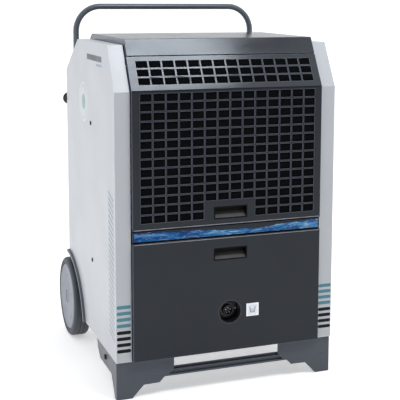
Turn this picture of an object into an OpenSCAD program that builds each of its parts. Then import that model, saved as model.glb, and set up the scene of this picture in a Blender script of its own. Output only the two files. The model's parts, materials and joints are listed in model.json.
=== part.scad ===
// Wheeled commercial dehumidifier: white folded side panels, dark top cover,
// perforated intake panel, lower door, foot frame, two rear wheels and a tube handle.
// Inside: coils, fan, compressor, drip tray, water tank and electrical box.
// Modules work with y = 0 on the front flange face and z = 0 on the floor;
// on_floor() then centres the object in y.

/* [Body] */
// Width over the two side panels
body_w = 600; // [590:1:620]
// Depth between the front and the rear flange faces
body_d = 554; // [553:1:560]
// Height of the lower edge of the side panels
sill_h = 100; // [99:0.5:102]
// Height at which the front starts to lean back
bend_h = 785; // [780:1:790]
// Height of the top edge of the side panels
side_h = 898.5; // [890:0.5:900]
// Lean of the front slope from the vertical, in degrees
front_lean = 30; // [28:0.5:32]
// Depth at which the rear slope starts
rear_break = 399; // [390:1:405]
// Fall of the rear slope, in degrees
rear_fall = 31; // [30:0.5:32]
// Thickness of the folded sheet
sheet = 2; // [1.5:0.5:2]
// Width of the side panels' return flange
flange_w = 40.5; // [39:0.5:41]
// How far the front panels stand proud of the flanges
proud = 10; // [9:0.5:11]
// Height of the top cover above the side panels
cover_rise = 14.5; // [12:0.5:16]
// Width of the cover, the front panels and the rear panel
mid_w = 515; // [510:1:515]
// Depth of the side lips of the cover and the returns of the panels
lip = 14; // [12:1:15]
// Height of the two rear buffers
buffer_h = 716; // [700:1:740]

/* [Intake panel] */
// Height of its lower edge
grille_h = 437.5; // [436:0.5:440]
// Length of the sloped part, measured along the slope
slope_len = 95; // [93:0.5:96]
// Gap between the intake panel and the top cover, along the slope
seam = 3; // [3:0.5:4]
// Number of columns of holes
cols = 14; // [10:1:16]
// Number of rows of holes in the upright part
rows = 14; // [12:1:14]
// Number of rows of holes in the sloped part
slope_rows = 3; // [2:1:3]
// Columns that the plain plate round the pull replaces, counted from 0
plain_cols = [5, 8]; // [5:1:8]
// Lowest rows that the plain plate replaces
plain_rows = 2; // [1:1:3]
// Width of all the columns together
holes_w = 474; // [460:1:476]
// Size of one hole
hole = [30.2, 19.2]; // [16:0.1:31]
// Distance from one row to the next
row_pitch = 23.5; // [23:0.1:24]
// Distance from the bend down to the first upright row
first_row = 6.5; // [6:0.5:8]
// Distance from the bend up to the lowest sloped row, along the slope
first_slope_row = 16.8; // [15:0.1:18]
// Radius of the hinge rods
rod_r = 2.5; // [2:0.25:2.5]
// Filter foam thickness
foam_t = 8; // [6:1:8]

/* [Lower door and middle rail] */
// Height of the lower edge of the door
door_low = 100.8; // [100.5:0.1:102]
// Height of the upper edge of the door
door_high = 406; // [400:0.5:406]
// How far the middle rail stands proud of the flanges
rail_proud = 5; // [3:0.5:6]
// Height of the wave strip
strip_h = 24; // [18:1:25]
// Width of the wave strip
strip_w = 506; // [480:1:510]
// Opening of a finger pull
pull = [88, 29]; // [26:0.5:90]
// Depth of a finger pull
pull_d = 20; // [16:1:24]
// Height of the middle of the upper pull
grille_pull_h = 470; // [468:0.5:472]
// Height of the middle of the lower pull
door_pull_h = 361.5; // [355:0.5:365]
// Sideways place of both pulls
pull_x = 2.5; // [0:0.5:5]
// Connector centre, x and z
conn_at = [2, 205]; // [0:0.5:210]
// Radius of the connector recess
conn_r = 31; // [28:0.5:32]
// Depth of the connector recess
conn_d = 28; // [24:1:30]
// Label centre, x and z
label_at = [65, 204.8]; // [60:0.2:210]
// Side of the square label
label_w = 34.5; // [30:0.5:36]

/* [Base] */
// Gap between the front flange face and the front of the foot frame
foot_back = 5.5; // [5:0.5:8]
// Thickness of the foot frame's sheet
foot_t = 3; // [2.5:0.5:3]
// Length of the foot frame's side returns
foot_len = 205; // [180:1:210]
// Width of a foot on the floor
foot_w = 41; // [38:1:44]
// Height of the underside of the crossbar
bar_low = 47; // [45:0.5:48]
// Height of the upper edge of the crossbar
bar_high = 69; // [67:0.5:70]
// Half width of the window above the crossbar
window_x = 146; // [140:1:150]
// Height of the upper edge of that window
window_top = 95; // [90:1:96]
// Half length of the crossbar's lower edge
bar_x = 172; // [168:1:176]
// Length of the sole flange from the front of the foot backwards
sole_len = 18; // [16:1:22]
// Cross-section of a side rail
rail = [18, 22]; // [16:0.5:22]
// Foot bolt, y and z
foot_bolt_at = [116, 78]; // [74:1:120]

/* [Wheels] */
// Radius of the wheels
wheel_r = 117.5; // [115:0.5:118]
// Width of the tyres
tyre_w = 50; // [38:1:50]
// Distance of the wheels' outer faces from the middle
wheel_x = 311; // [309:0.5:313]
// Depth of the axle behind the front flange face
axle_y = 552; // [548:1:554]
// Radius of the axle
axle_r = 10; // [9:0.5:10]
// Radius of the pale wheel cover
cover_r = 98.5; // [96:0.5:99]
// Radius of the wheel arch in the side panel
arch_r = 212; // [208:0.5:213]
// Height of the middle of the wheel arch
arch_h = 47; // [44:0.5:48]
// How far the arch trim stands out of the side panel
trim_out = 7; // [5:0.5:8]

/* [Handle] */
// Radius of the handle tube
tube_r = 8.5; // [7:0.5:8.5]
// Distance of a leg from the middle
leg_x = 273; // [272:0.5:275]
// Depth of the legs behind the front flange face
leg_y = 539; // [536:0.5:540]
// Height of the top run's centre line
run_h = 987; // [970:1:1000]
// Bend radius of the tube's centre line
tube_bend = 72; // [50:1:80]
// Height of the lower ends of the legs
leg_low = 620; // [600:5:640]

/* [Cooling circuit] */
// Evaporator block, width, depth and height
coil = [440, 45, 320]; // [40:1:450]
// Depth of the front of the evaporator
evap_y = 40; // [36:1:44]
// Depth of the front of the condenser
cond_y = 105; // [100:1:110]
// Depth of the drain under the coils
drain_y = 132; // [125:1:140]
// Number of tube rows in a coil
tube_rows = 8; // [4:1:8]
// Distance from one tube row to the next
tube_pitch = 40; // [30:1:40]
// Height of the deck that carries the coils and the fan
deck_h = 418; // [416:1:422]
// Radius of the fan
fan_r = 158; // [150:1:160]
// Height of the fan axis
fan_h = 612; // [608:1:616]
// Depth of the fan shroud plate
shroud_y = 300; // [290:1:305]
// Radius of the fan motor
motor_r = 55; // [50:1:58]
// Radius of the compressor
comp_r = 75; // [70:1:80]
// Compressor centre, x and y
comp_at = [110, 385]; // [100:1:400]
// Height of the compressor
comp_h = 230; // [200:5:240]

/* [Tank and controls] */
// Depth and height of the float's pivot
float_at = [240, 368]; // [230:1:370]
// Water tank, width, depth and height
tank = [440, 190, 220]; // [180:1:445]
// Depth of the front of the tank
tank_y = 42; // [40:1:48]
// Control plate, width and height
plate = [170, 120]; // [110:1:180]
// Middle of the control plate, x and z
plate_at = [-140, 290]; // [-150:1:300]
// Radius of the humidistat knob
knob_r = 16; // [14:0.5:18]

/* [Hidden] */
$fn = 64;

half_w = body_w / 2;
mid_x = mid_w / 2;
label_t = 0.5;
middle_y = (axle_y + wheel_r - proud - label_t) / 2;
fit = 0.05;

// Side outline, y and z, counter-clockwise
slope_y = (side_h - bend_h) * tan(front_lean);
rear_corner = side_h - (body_d - rear_break) * tan(rear_fall);
side_line = [[0, sill_h], [body_d, sill_h], [body_d, rear_corner],
    [rear_break, side_h], [slope_y, side_h], [0, bend_h]];

// Outer face of the intake panel and of the cover, bottom to top
knee = [-proud, bend_h + proud * tan(front_lean / 2)];
along = [sin(front_lean), cos(front_lean)];
inward = [cos(front_lean), -sin(front_lean)];
function on_slope(s, d) = knee + s * along + d * inward;
cover_h = side_h + cover_rise;
cover_start = slope_len + seam;
cover_front = knee + (cover_h - knee[1]) / along[1] * along;
cover_break = rear_break + cover_rise * tan(rear_fall);
rear_face = body_d + sheet;
cover_drop = cover_h - (rear_face - cover_break) * tan(rear_fall);
cover_line = [on_slope(cover_start, 0), cover_front, [cover_break, cover_h],
    [rear_face, cover_drop], [rear_face, cover_drop - lip]];
grille_line = [[-proud, grille_h], knee, on_slope(slope_len, 0)];
hinge_in = 6;
grille_axis = on_slope(slope_len - hinge_in, hinge_in);
door_axis = [-proud + hinge_in, door_low + hinge_in];

hole_pitch = (holes_w - hole[0]) / (cols - 1);
post = [30, 16];
well_x = 254;
pan_h = sill_h;

function unit(v) = v / norm(v);
function left(v) = [-v[1], v[0]];
// Corner of a line moved sideways by d, to the left of its run
function corner(a, b, c, d) =
    let (m = left(unit(b - a)), n = left(unit(c - b))) b + d * (m + n) / (1 + m * n);
// Closed outline moved inwards by d
function inset(p, d) = let (n = len(p))
    [for (i = [0 : n - 1]) corner(p[(i + n - 1) % n], p[i], p[(i + 1) % n], d)];
// Open line moved to its left by d
function beside(p, d) = let (n = len(p)) [for (i = [0 : n - 1])
    i == 0 ? p[0] + d * left(unit(p[1] - p[0]))
    : i == n - 1 ? p[i] + d * left(unit(p[i] - p[i - 1]))
    : corner(p[i - 1], p[i], p[i + 1], d)];
function reversed(p) = [for (i = [len(p) - 1 : -1 : 0]) p[i]];
// Closed outline of a folded sheet: the line and its copy d to the right
function folded(p, d) = concat(p, reversed(beside(p, -d)));
// The same, between depths a and b behind the line
function layer(p, a, b) = concat(beside(p, -a), reversed(beside(p, -b)));

module on_floor() translate([0, -middle_y, 0]) children();
// Outline in y and z, drawn from x0 over the width w
module along_x(x0, w) translate([x0, 0, 0]) rotate([90, 0, 90]) linear_extrude(w) children();
// Outline in x and z, drawn from y0 backwards over the depth d
module along_y(y0, d) translate([0, y0 + d, 0]) rotate([90, 0, 0]) linear_extrude(d) children();
module block(a, b) translate(a) cube([for (i = [0 : 2]) b[i] - a[i]]);
module rod_x(x0, x1, y, z, r) translate([x0, y, z]) rotate([0, 90, 0]) cylinder(h = x1 - x0, r = r);
module rod_y(y0, y1, x, z, r) translate([x, y0, z]) rotate([-90, 0, 0]) cylinder(h = y1 - y0, r = r);
module rod_z(z0, z1, x, y, r) translate([x, y, z0]) cylinder(h = z1 - z0, r = r);
module both_sides() {
    children();
    mirror([1, 0, 0]) children();
}

module front_foot_frame() color([0.26, 0.28, 0.31]) on_floor() {
    edge = half_w - 1;
    back = foot_back;
    web_x = window_x + 15;
    lower_lip = bar_low + foot_t;
    step = [[edge - foot_w, 0], [227, 32.5], [185, 33.5], [bar_x, bar_low]];
    front = concat([[edge, 0], [edge, sill_h], [-edge, sill_h], [-edge, 0]],
        [for (p = step) [-p[0], p[1]]], reversed(step));
    side = [[back, 0], [back + sole_len, 0], [29.5, 13], [44, 34], [59, 53.5],
        [179, 53.5], [206, 78], [back + foot_len, sill_h], [back, sill_h]];
    // Stepped profile of the crossbar behind the front plate, y from the plate's face and z
    profile = [[6, lower_lip - 1], [6, 57], [4, 58.5], [4, 63], [10, 64.5], [10, bar_high],
        [12, bar_high], [12, 63], [6, 61.5], [6, 59.3], [8, 58], [8, lower_lip - 1]];
    difference() {
        along_y(back, foot_t) polygon(front);
        along_y(back - 1, foot_t + 2) polygon([[-window_x, window_top], [-window_x, bar_high],
            [-web_x, lower_lip + 1], [web_x, lower_lip + 1], [window_x, bar_high],
            [window_x, window_top]]);
    }
    along_x(-web_x - 6, 2 * web_x + 12) translate([back, 0]) polygon(profile);
    both_sides() {
        along_x(edge - foot_t, foot_t) polygon(side);
        block([edge - foot_w, back, 0], [edge, back + sole_len, foot_t]);
    }
    block([-edge, back, sill_h - foot_t], [edge, back + 30, sill_h]);
    block([2 - bar_x, back, bar_low], [bar_x - 2, back + 20, lower_lip]);
}

rail_x = 222;
// Depths at which the rails and the base pan start and end
under_y = [foot_back + 31, axle_y - 4];
module side_rails() color([0.26, 0.28, 0.31]) on_floor() both_sides() difference() {
    z1 = pan_h - foot_t;
    block([rail_x, under_y[0], z1 - rail[1]], [rail_x + rail[0], under_y[1], z1]);
    block([rail_x + foot_t, 0, z1 - rail[1] + foot_t], [rail_x + rail[0] - foot_t, body_d, z1 - foot_t]);
}

module base_pan() color([0.62, 0.64, 0.66]) on_floor() difference() {
    union() {
        block([-half_w + 5, under_y[0], pan_h - foot_t], [half_w - 5, under_y[1], pan_h]);
        block([-mid_x + 12, under_y[0], pan_h], [mid_x - 12, under_y[0] + sheet, pan_h + 10]);
    }
    both_sides() block([well_x - 6, body_d - arch_r - 6, 0], [half_w, body_d, pan_h + 40]);
}

// Front and top of the rear crossmember: depth of its web and height of its upper face
rear_member = [axle_y - 32, 146];
module rear_crossmember() color([0.26, 0.28, 0.31]) on_floor() {
    x = well_x - 12;
    y = rear_member[0];
    z = rear_member[1] - foot_t;
    block([-x, y, pan_h], [x, y + foot_t, z]);
    block([-x, y, z], [x, axle_y + 8, z + foot_t]);
    both_sides() block([x - 60, y + foot_t, pan_h], [x - 60 + foot_t, axle_y - 20, z]);
}

module axle_brackets() color([0.26, 0.28, 0.31]) on_floor() both_sides() difference() {
    y0 = axle_y - 46;
    y1 = axle_y + 18;
    low = pan_h - 8;
    along_x(well_x - 12, 6) polygon([[y0, pan_h], [under_y[1], pan_h], [under_y[1], low], [y1, low],
        [y1, rear_member[1]], [y0, rear_member[1]]]);
    rod_x(0, half_w, axle_y, wheel_r, axle_r + fit);
}

module axle() color("silver") on_floor() difference() {
    rod_x(-wheel_x + 5, wheel_x - 5, axle_y, wheel_r, axle_r);
    both_sides() translate([wheel_x - 9, axle_y, wheel_r]) rotate([0, 90, 0]) difference() {
        cylinder(h = 2, r = axle_r + 1);
        cylinder(h = 2, r = axle_r - 2);
    }
}

module axle_clips() color("gray") on_floor() both_sides() {
    difference() {
        rod_x(wheel_x - tyre_w - 6, wheel_x - tyre_w - 2, axle_y, wheel_r, 18);
        rod_x(0, half_w, axle_y, wheel_r, axle_r + fit);
    }
    difference() {
        rod_x(wheel_x - 9, wheel_x - 7, axle_y, wheel_r, 15);
        rod_x(0, wheel_x, axle_y, wheel_r, axle_r - 2);
    }
}

// Part of a ring round the middle of the wheel arch, above the sill and in front of depth y1
module arch_ring(x0, x1, r0, r1, y1 = body_d) intersection() {
    translate([x0, body_d, arch_h]) rotate([0, 90, 0]) difference() {
        cylinder(h = x1 - x0, r = r1, $fn = 120);
        translate([0, 0, -1]) cylinder(h = x1 - x0 + 2, r = r0, $fn = 120);
    }
    block([x0 - 1, body_d - 2 * arch_r, pan_h], [x1 + 1, y1, 2 * arch_r]);
}

module wheel_wells() color([0.3, 0.32, 0.34]) on_floor() both_sides() {
    arch_ring(well_x, half_w - 8.2, arch_r - 7, arch_r - 4.5);
    difference() {
        arch_ring(well_x - 2, well_x, 1, arch_r - 4.5);
        rod_x(0, half_w, axle_y, wheel_r, 24);
    }
}

module arch_trims() color([0.5, 0.52, 0.54]) on_floor() both_sides() {
    arch_ring(half_w - 8, half_w - sheet, arch_r - 4, arch_r + 4, body_d - sheet);
    arch_ring(half_w - sheet, half_w, arch_r - 4, arch_r);
    arch_ring(half_w, half_w + trim_out, arch_r - 4, arch_r + 4);
}

// Right-hand side panel; the left one is its mirror image
module side_panel() color([0.86, 0.87, 0.89]) on_floor() difference() {
    along_x(half_w - flange_w, flange_w) polygon(side_line);
    along_x(half_w - flange_w - 1, flange_w - sheet + 1) polygon(inset(side_line, sheet));
    block([half_w - flange_w - 1, sheet, 0], [half_w - sheet, body_d - sheet, sill_h + sheet]);
    rod_x(0, half_w + 1, body_d, arch_h, arch_r);
    rod_z(leg_low, side_h, leg_x, leg_y, tube_r + 3.1);
}
module right_side_panel() side_panel();
module left_side_panel() mirror([1, 0, 0]) side_panel();

module top_cover() color([0.3, 0.32, 0.36]) on_floor() {
    along_x(-mid_x + 0.5, mid_w - 1) polygon(folded(cover_line, sheet));
    both_sides() along_x(mid_x - 0.5 - sheet, sheet)
        polygon(folded([for (i = [0 : 3]) cover_line[i]], cover_rise + sheet));
}

guard_r = 170;
module rear_panel() color([0.3, 0.32, 0.36]) on_floor() difference() {
    top = cover_drop - lip - 2;
    low = rear_member[1] + 2;
    wide = mid_x + 12;
    slim = well_x - 2;
    step = arch_h + arch_r + 10;
    along_y(body_d, sheet) polygon([[-slim, low], [slim, low], [slim, step], [wide, step], [wide, top],
        [-wide, top], [-wide, step], [-slim, step]]);
    rod_y(body_d - 1, rear_face + 1, 0, fan_h, guard_r);
    at = [for (i = [0, 1]) plate_at[i] - plate[i] / 2 + 8];
    block([at[0], body_d - 1, at[1]], [at[0] + plate[0] - 16, rear_face + 1, at[1] + plate[1] - 16]);
}

module guard_ring(a, b) difference() {
    rod_y(rear_face, rear_face + 3, 0, fan_h, b);
    rod_y(rear_face - 1, rear_face + 4, 0, fan_h, a);
}
module outlet_guard() color([0.16, 0.17, 0.18]) on_floor() {
    y = rear_face;
    for (r = [40 : 18 : 166]) guard_ring(r, r + 3);
    guard_ring(guard_r, guard_r + 10);
    for (a = [0 : 30 : 330]) translate([0, y + 3, fan_h]) rotate([0, a, 0])
        block([36, 0, -2], [guard_r + 8, 2.5, 2]);
    rod_y(y + 3, y + 5.5, 0, fan_h, 38);
    for (a = [45 : 90 : 315]) translate([0, 0, fan_h]) rotate([0, a, 0])
        rod_y(y + 3, y + 5, guard_r + 4, 0, 3.6);
}

module mid_rail() color([0.22, 0.24, 0.27]) on_floor() {
    z0 = door_high + 2.5;
    z1 = grille_h - 2.5;
    along_x(-mid_x, mid_w) polygon([[-rail_proud, z0], [20, z0], [20, z0 + sheet],
        [sheet - rail_proud, z0 + sheet], [sheet - rail_proud, z1 - sheet], [20, z1 - sheet],
        [20, z1], [-rail_proud, z1]]);
    block([-half_w + 8, 20, z0 - 8], [half_w - 8, 22, z1 + 8]);
}

module wave_strip() color([0.13, 0.36, 0.68]) on_floor() {
    step = 11;
    low = (door_high + grille_h - strip_h) / 2;
    crest = [for (x = [strip_w / 2 : -step : -strip_w / 2])
        [x, low + strip_h - 1.5 + 1.1 * sin(x * 3.1) + 0.6 * sin(x * 7.3 + 40)]];
    along_y(-rail_proud - 0.4, 0.4) polygon(concat([[-strip_w / 2, low], [strip_w / 2, low]], crest));
}

module post_tube(x, y, z0, z1) difference() {
    block([x, y, z0], [x + post[0], y + post[1], z1]);
    block([x + sheet, y + sheet, z0 - 1], [x + post[0] - sheet, y + post[1] - sheet, z1 + 1]);
}
post_x = half_w - sheet - post[0] - 1;
module front_posts() color([0.6, 0.62, 0.64]) on_floor() both_sides() {
    post_tube(post_x, 4, pan_h, bend_h - 15);
}
module rear_posts() color([0.6, 0.62, 0.64]) on_floor() both_sides() {
    block([mid_x + 3, leg_y + tube_r + 1.5, arch_h + arch_r + 6],
        [half_w - 6, body_d - sheet - 0.5, rear_corner - 14]);
}

module deck_plate() color([0.62, 0.64, 0.66]) on_floor() {
    difference() {
        block([-half_w + 4, 24, deck_h], [half_w - 4, leg_y - tube_r - 6, deck_h + sheet]);
        both_sides() block([post_x - 1, 0, deck_h - 1], [half_w, 30, deck_h + 4]);
        block([204, 208, deck_h - 1], [254, 262, deck_h + 4]);
        rod_z(deck_h - 1, deck_h + 4, 0, drain_y, 9);
    }
    difference() {
        for (x = [-14, 10])
            block([x, float_at[0] - 10, float_at[1] - 8], [x + 4, float_at[0] + 10, deck_h]);
        rod_x(-20, 20, float_at[0], float_at[1], 2.5 + fit);
    }
}

module coil_block(y0) {
    z0 = deck_h + 34;
    x = coil[0] / 2;
    block([-x, y0, z0], [x, y0 + coil[1], z0 + coil[2]]);
    both_sides() block([x, y0 - 3, z0 - 6], [x + sheet, y0 + coil[1] + 3, z0 + coil[2] + 6]);
    both_sides() for (i = [0 : tube_rows - 1])
        translate([x + sheet, y0 + coil[1] / 2, z0 + tube_pitch * (i + 0.5)])
            rotate([90, 0, 90]) rotate([90, 0, 0]) rotate_extrude(angle = 180)
                translate([11, 0]) circle(r = 4.5, $fn = 24);
}
module evaporator() color([0.7, 0.72, 0.74]) on_floor() coil_block(evap_y);
module condenser() color([0.62, 0.64, 0.67]) on_floor() coil_block(cond_y);

module drip_tray() color([0.35, 0.37, 0.4]) on_floor() difference() {
    z0 = deck_h + sheet;
    block([-coil[0] / 2 - 8, evap_y - 8, z0], [coil[0] / 2 + 8, cond_y + coil[1] + 8, z0 + 24]);
    block([-coil[0] / 2 - 6, evap_y - 6, z0 + 3], [coil[0] / 2 + 6, cond_y + coil[1] + 6, z0 + 25]);
    rod_z(z0 - 1, z0 + 4, 0, drain_y, 7);
}

module drain_tube() color([0.75, 0.78, 0.8]) on_floor() difference() {
    low = deck_h - 78;
    rod_z(low, deck_h + sheet, 0, drain_y, 8.5);
    rod_z(low - 1, deck_h + sheet + 1, 0, drain_y, 6.5);
}

module fan_shroud() color([0.45, 0.47, 0.5]) on_floor() difference() {
    union() {
        block([-285, shroud_y, deck_h + sheet], [285, shroud_y + sheet, bend_h - 10]);
        rod_y(shroud_y - 30, shroud_y, 0, fan_h, fan_r + 7);
    }
    rod_y(shroud_y - 31, shroud_y + 5, 0, fan_h, fan_r + 4);
}

motor_y = shroud_y + 40;
module motor_bracket() color([0.3, 0.32, 0.34]) on_floor() {
    difference() {
        rod_y(motor_y + 30, motor_y + 42, 0, fan_h, motor_r + 8);
        rod_y(motor_y + 29, motor_y + 43, 0, fan_h, motor_r + 0.1);
    }
    for (a = [45 : 90 : 315]) translate([0, 0, fan_h]) rotate([0, a, 0]) {
        block([motor_r + 7, motor_y + 34, -7], [fan_r + 32, motor_y + 38, 7]);
        rod_y(shroud_y + sheet, motor_y + 34, fan_r + 25, 0, 5);
    }
}

module fan_motor() color([0.2, 0.21, 0.22]) on_floor() difference() {
    union() {
        rod_y(motor_y, motor_y + 85, 0, fan_h, motor_r);
        rod_y(motor_y - 6, motor_y, 0, fan_h, 18);
        rod_y(motor_y + 85, motor_y + 95, 0, fan_h, 24);
    }
    rod_y(motor_y - 7, motor_y + 40, 0, fan_h, 6 + fit);
}

module fan_impeller() color([0.15, 0.16, 0.17]) on_floor() {
    hub_r = 42;
    rod_y(shroud_y - 22, shroud_y + 16, 0, fan_h, hub_r);
    rod_y(shroud_y + 16, motor_y + 38, 0, fan_h, 6);
    intersection() {
        for (a = [0 : 60 : 300]) translate([0, shroud_y - 3, fan_h]) rotate([0, a, 0])
            rotate([32, 0, 0]) block([hub_r - 6, -1.5, -36], [fan_r + 4, 1.5, 36]);
        rod_y(shroud_y - 26, shroud_y + 20, 0, fan_h, fan_r);
    }
}

module compressor() color([0.1, 0.1, 0.11]) on_floor() {
    z = pan_h + 14;
    translate([comp_at[0], comp_at[1], 0]) {
        block([-90, -90, z], [90, 90, z + 5]);
        difference() {
            rod_z(z + 5, z + comp_h, 0, 0, comp_r);
            rod_z(z + comp_h - 70, z + comp_h - 62, 0, 0, comp_r + 5);
        }
        rod_z(z + comp_h - 71, z + comp_h - 61, 0, 0, comp_r - 2);
        intersection() {
            translate([0, 0, z + comp_h - 50]) sphere(r = comp_r + 15);
            rod_z(z + comp_h, z + comp_h + 60, 0, 0, comp_r - 6);
        }
        rod_z(z + 40, z + 180, -comp_r - 32, 0, 26);
        block([-comp_r - 10, -8, z + 90], [-comp_r + 4, 8, z + 110]);
    }
}

module compressor_feet() color([0.12, 0.12, 0.12]) on_floor()
    for (x = [-72, 72], y = [-72, 72])
        rod_z(pan_h, pan_h + 14, comp_at[0] + x, comp_at[1] + y, 14);

module filter_drier() color([0.75, 0.48, 0.3]) on_floor() {
    rod_z(190, 290, 225, 270, 14);
    rod_z(290, 305, 225, 270, 8);
    rod_z(175, 190, 225, 270, 8);
}

// Round pipe through a list of points
module pipe(p, r) {
    for (i = [0 : len(p) - 2]) translate(p[i]) {
        v = p[i + 1] - p[i];
        rotate([0, acos(v[2] / norm(v)), atan2(v[1], v[0])]) cylinder(h = norm(v), r = r, $fn = 24);
    }
    for (i = [1 : len(p) - 2]) translate(p[i]) sphere(r = r, $fn = 24);
}

module copper_pipes() color([0.78, 0.5, 0.32]) on_floor() {
    pipe([[150, 385, 378], [150, 385, 396], [245, 385, 396], [245, 250, 396],
        [245, 250, 500], [245, 160, 500], [245, 160, 560]], 5);
    pipe([[225, 270, 305], [225, 270, 340], [225, 236, 340], [225, 236, 480]], 4);
    pipe([[3, 385, 296], [3, 385, 330], [3, 292, 330], [212, 292, 330], [212, 292, 372],
        [212, 218, 372], [212, 218, 452], [262, 218, 452], [262, 62, 452], [262, 62, 600]], 6);
}

module water_tank() color([0.82, 0.84, 0.86]) on_floor() difference() {
    x = tank[0] / 2;
    y1 = tank_y + tank[1];
    z0 = pan_h + 1;
    block([-x, tank_y, z0], [x, y1, z0 + tank[2]]);
    block([-x + 3, tank_y + 3, z0 + 3], [x - 3, y1 - 3, z0 + tank[2] + 1]);
    block([-45, tank_y - 1, z0 + tank[2] - 40], [45, tank_y + 4, z0 + tank[2] - 14]);
}

module float_arm() color([0.9, 0.5, 0.1]) on_floor() {
    y = float_at[0];
    z = float_at[1];
    reach = 50;
    stem = 75;
    rod_x(-16, 16, y, z, 2.5);
    block([-4, y - reach - 4, z - 3], [4, y + 2, z + 3]);
    rod_z(z - stem, z + 3, 0, y - reach, 4);
    rod_z(z - stem - 30, z - stem, 0, y - reach, 22);
}

module electrical_box() color([0.45, 0.47, 0.5]) on_floor() difference() {
    at = [plate_at[0] - 80, plate_at[1] - 60];
    block([at[0], 440, at[1]], [at[0] + 160, rear_face - lip - 4, at[1] + 120]);
    block([at[0] + 2, 442, at[1] + 2], [at[0] + 158, rear_face, at[1] + 118]);
}

knob_at = [plate_at[0] - 40, plate_at[1] + 20];
rocker_at = [plate_at[0] + 40, plate_at[1] + 20];
inlet_at = [plate_at[0], plate_at[1] - 30];
// Depth and radius of the rocker's pivot pin
rocker_y = rear_face - 3;
rocker_pin = 1.5;
plate_t = 2;
module plate_hole(at, w, h)
    block([at[0] - w, rear_face - 1, at[1] - h], [at[0] + w, rear_face + plate_t + 1, at[1] + h]);
module control_plate() color([0.72, 0.74, 0.76]) on_floor() difference() {
    union() {
        translate([plate_at[0], rear_face, plate_at[1]]) {
            block([-plate[0] / 2, 0, -plate[1] / 2], [plate[0] / 2, plate_t, plate[1] / 2]);
            for (x = [-1, 1], z = [-1, 1])
                rod_y(plate_t, plate_t + 1.5, x * (plate[0] / 2 - 8), z * (plate[1] / 2 - 7), 3.2);
        }
        translate([rocker_at[0], rocker_y, rocker_at[1]])
            for (x = [-14, 11]) block([x, -4, -5], [x + 3, rear_face - rocker_y, 5]);
    }
    rod_y(rear_face - 1, rear_face + plate_t + 1, knob_at[0], knob_at[1], 4 + fit);
    plate_hole(rocker_at, 11, 15);
    plate_hole(inlet_at, 24, 13);
    rod_x(rocker_at[0] - 15, rocker_at[0] + 15, rocker_y, rocker_at[1], rocker_pin + fit);
}

module humidistat_knob() color([0.1, 0.1, 0.1]) on_floor() {
    y = rear_face + plate_t;
    rod_y(y + 0.5, y + 4, knob_at[0], knob_at[1], knob_r + 3);
    rod_y(y + 4, y + 16, knob_at[0], knob_at[1], knob_r);
    rod_y(rear_face - 8, y + 1, knob_at[0], knob_at[1], 4);
    block([knob_at[0] - 1.2, y + 15, knob_at[1] + 2], [knob_at[0] + 1.2, y + 17.5, knob_at[1] + knob_r - 1]);
}

module rocker_switch() color([0.1, 0.45, 0.2]) on_floor() {
    y = rear_face + plate_t;
    rod_x(rocker_at[0] - 13.8, rocker_at[0] + 13.8, rocker_y, rocker_at[1], rocker_pin);
    along_x(rocker_at[0] - 9.5, 19) polygon([[y - 6, rocker_at[1] - 10], [y + 1.2, rocker_at[1] - 13],
        [y + 3.6, rocker_at[1] - 12.5], [y + 2, rocker_at[1]], [y + 4.6, rocker_at[1] + 12.5],
        [y + 2.2, rocker_at[1] + 13], [y - 6, rocker_at[1] + 10]]);
}

module mains_inlet() color([0.08, 0.08, 0.08]) on_floor() {
    y = rear_face + plate_t;
    difference() {
        union() {
            block([inlet_at[0] - 25.5, y, inlet_at[1] - 15], [inlet_at[0] + 25.5, y + 3, inlet_at[1] + 15]);
            block([inlet_at[0] - 23, y - 22, inlet_at[1] - 12.5], [inlet_at[0] + 23, y, inlet_at[1] + 12.5]);
        }
        block([inlet_at[0] - 13, y - 18, inlet_at[1] - 9], [inlet_at[0] + 13, y + 4, inlet_at[1] + 9]);
    }
    for (i = [-1 : 1]) block([inlet_at[0] + i * 7 - 1, y - 19, inlet_at[1] - 2 + abs(i)],
        [inlet_at[0] + i * 7 + 1, y - 4, inlet_at[1] + 2 + abs(i)]);
}

module handle() color([0.3, 0.31, 0.33]) on_floor() {
    bend_z = run_h - tube_bend;
    both_sides() {
        rod_z(leg_low, bend_z, leg_x, leg_y, tube_r);
        translate([leg_x - tube_bend, leg_y, bend_z]) rotate([90, 0, 0])
            rotate_extrude(angle = 90) translate([tube_bend, 0]) circle(r = tube_r);
    }
    rod_x(tube_bend - leg_x, leg_x - tube_bend, leg_y, run_h, tube_r);
}

module handle_collars() color([0.1, 0.1, 0.1]) on_floor() both_sides() difference() {
    z = side_h - (leg_y - rear_break) * tan(rear_fall);
    rod_z(z - 14, z + 9, leg_x, leg_y, tube_r + 3);
    rod_z(leg_low, side_h + 20, leg_x, leg_y, tube_r + 0.15);
}

module handle_clamps() color([0.55, 0.57, 0.6]) on_floor() both_sides()
    for (z = [leg_low + 25, leg_low + 130]) difference() {
        union() {
            block([leg_x - 13, leg_y - 12, z - 9], [leg_x + 13, leg_y + tube_r + 1.5, z + 9]);
            rod_y(leg_y - 15, leg_y - 12, leg_x - 9, z, 3);
            rod_y(leg_y - 15, leg_y - 12, leg_x + 9, z, 3);
        }
        rod_z(z - 10, z + 10, leg_x, leg_y, tube_r + fit);
    }

module rear_buffers() color([0.1, 0.1, 0.1]) on_floor() both_sides()
    translate([half_w - 11, body_d, buffer_h]) rotate([-90, 0, 0]) {
        cylinder(h = 26, r1 = 13, r2 = 17.5);
        translate([0, 0, 26]) cylinder(h = 4, r1 = 17.5, r2 = 15.5);
    }

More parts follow.
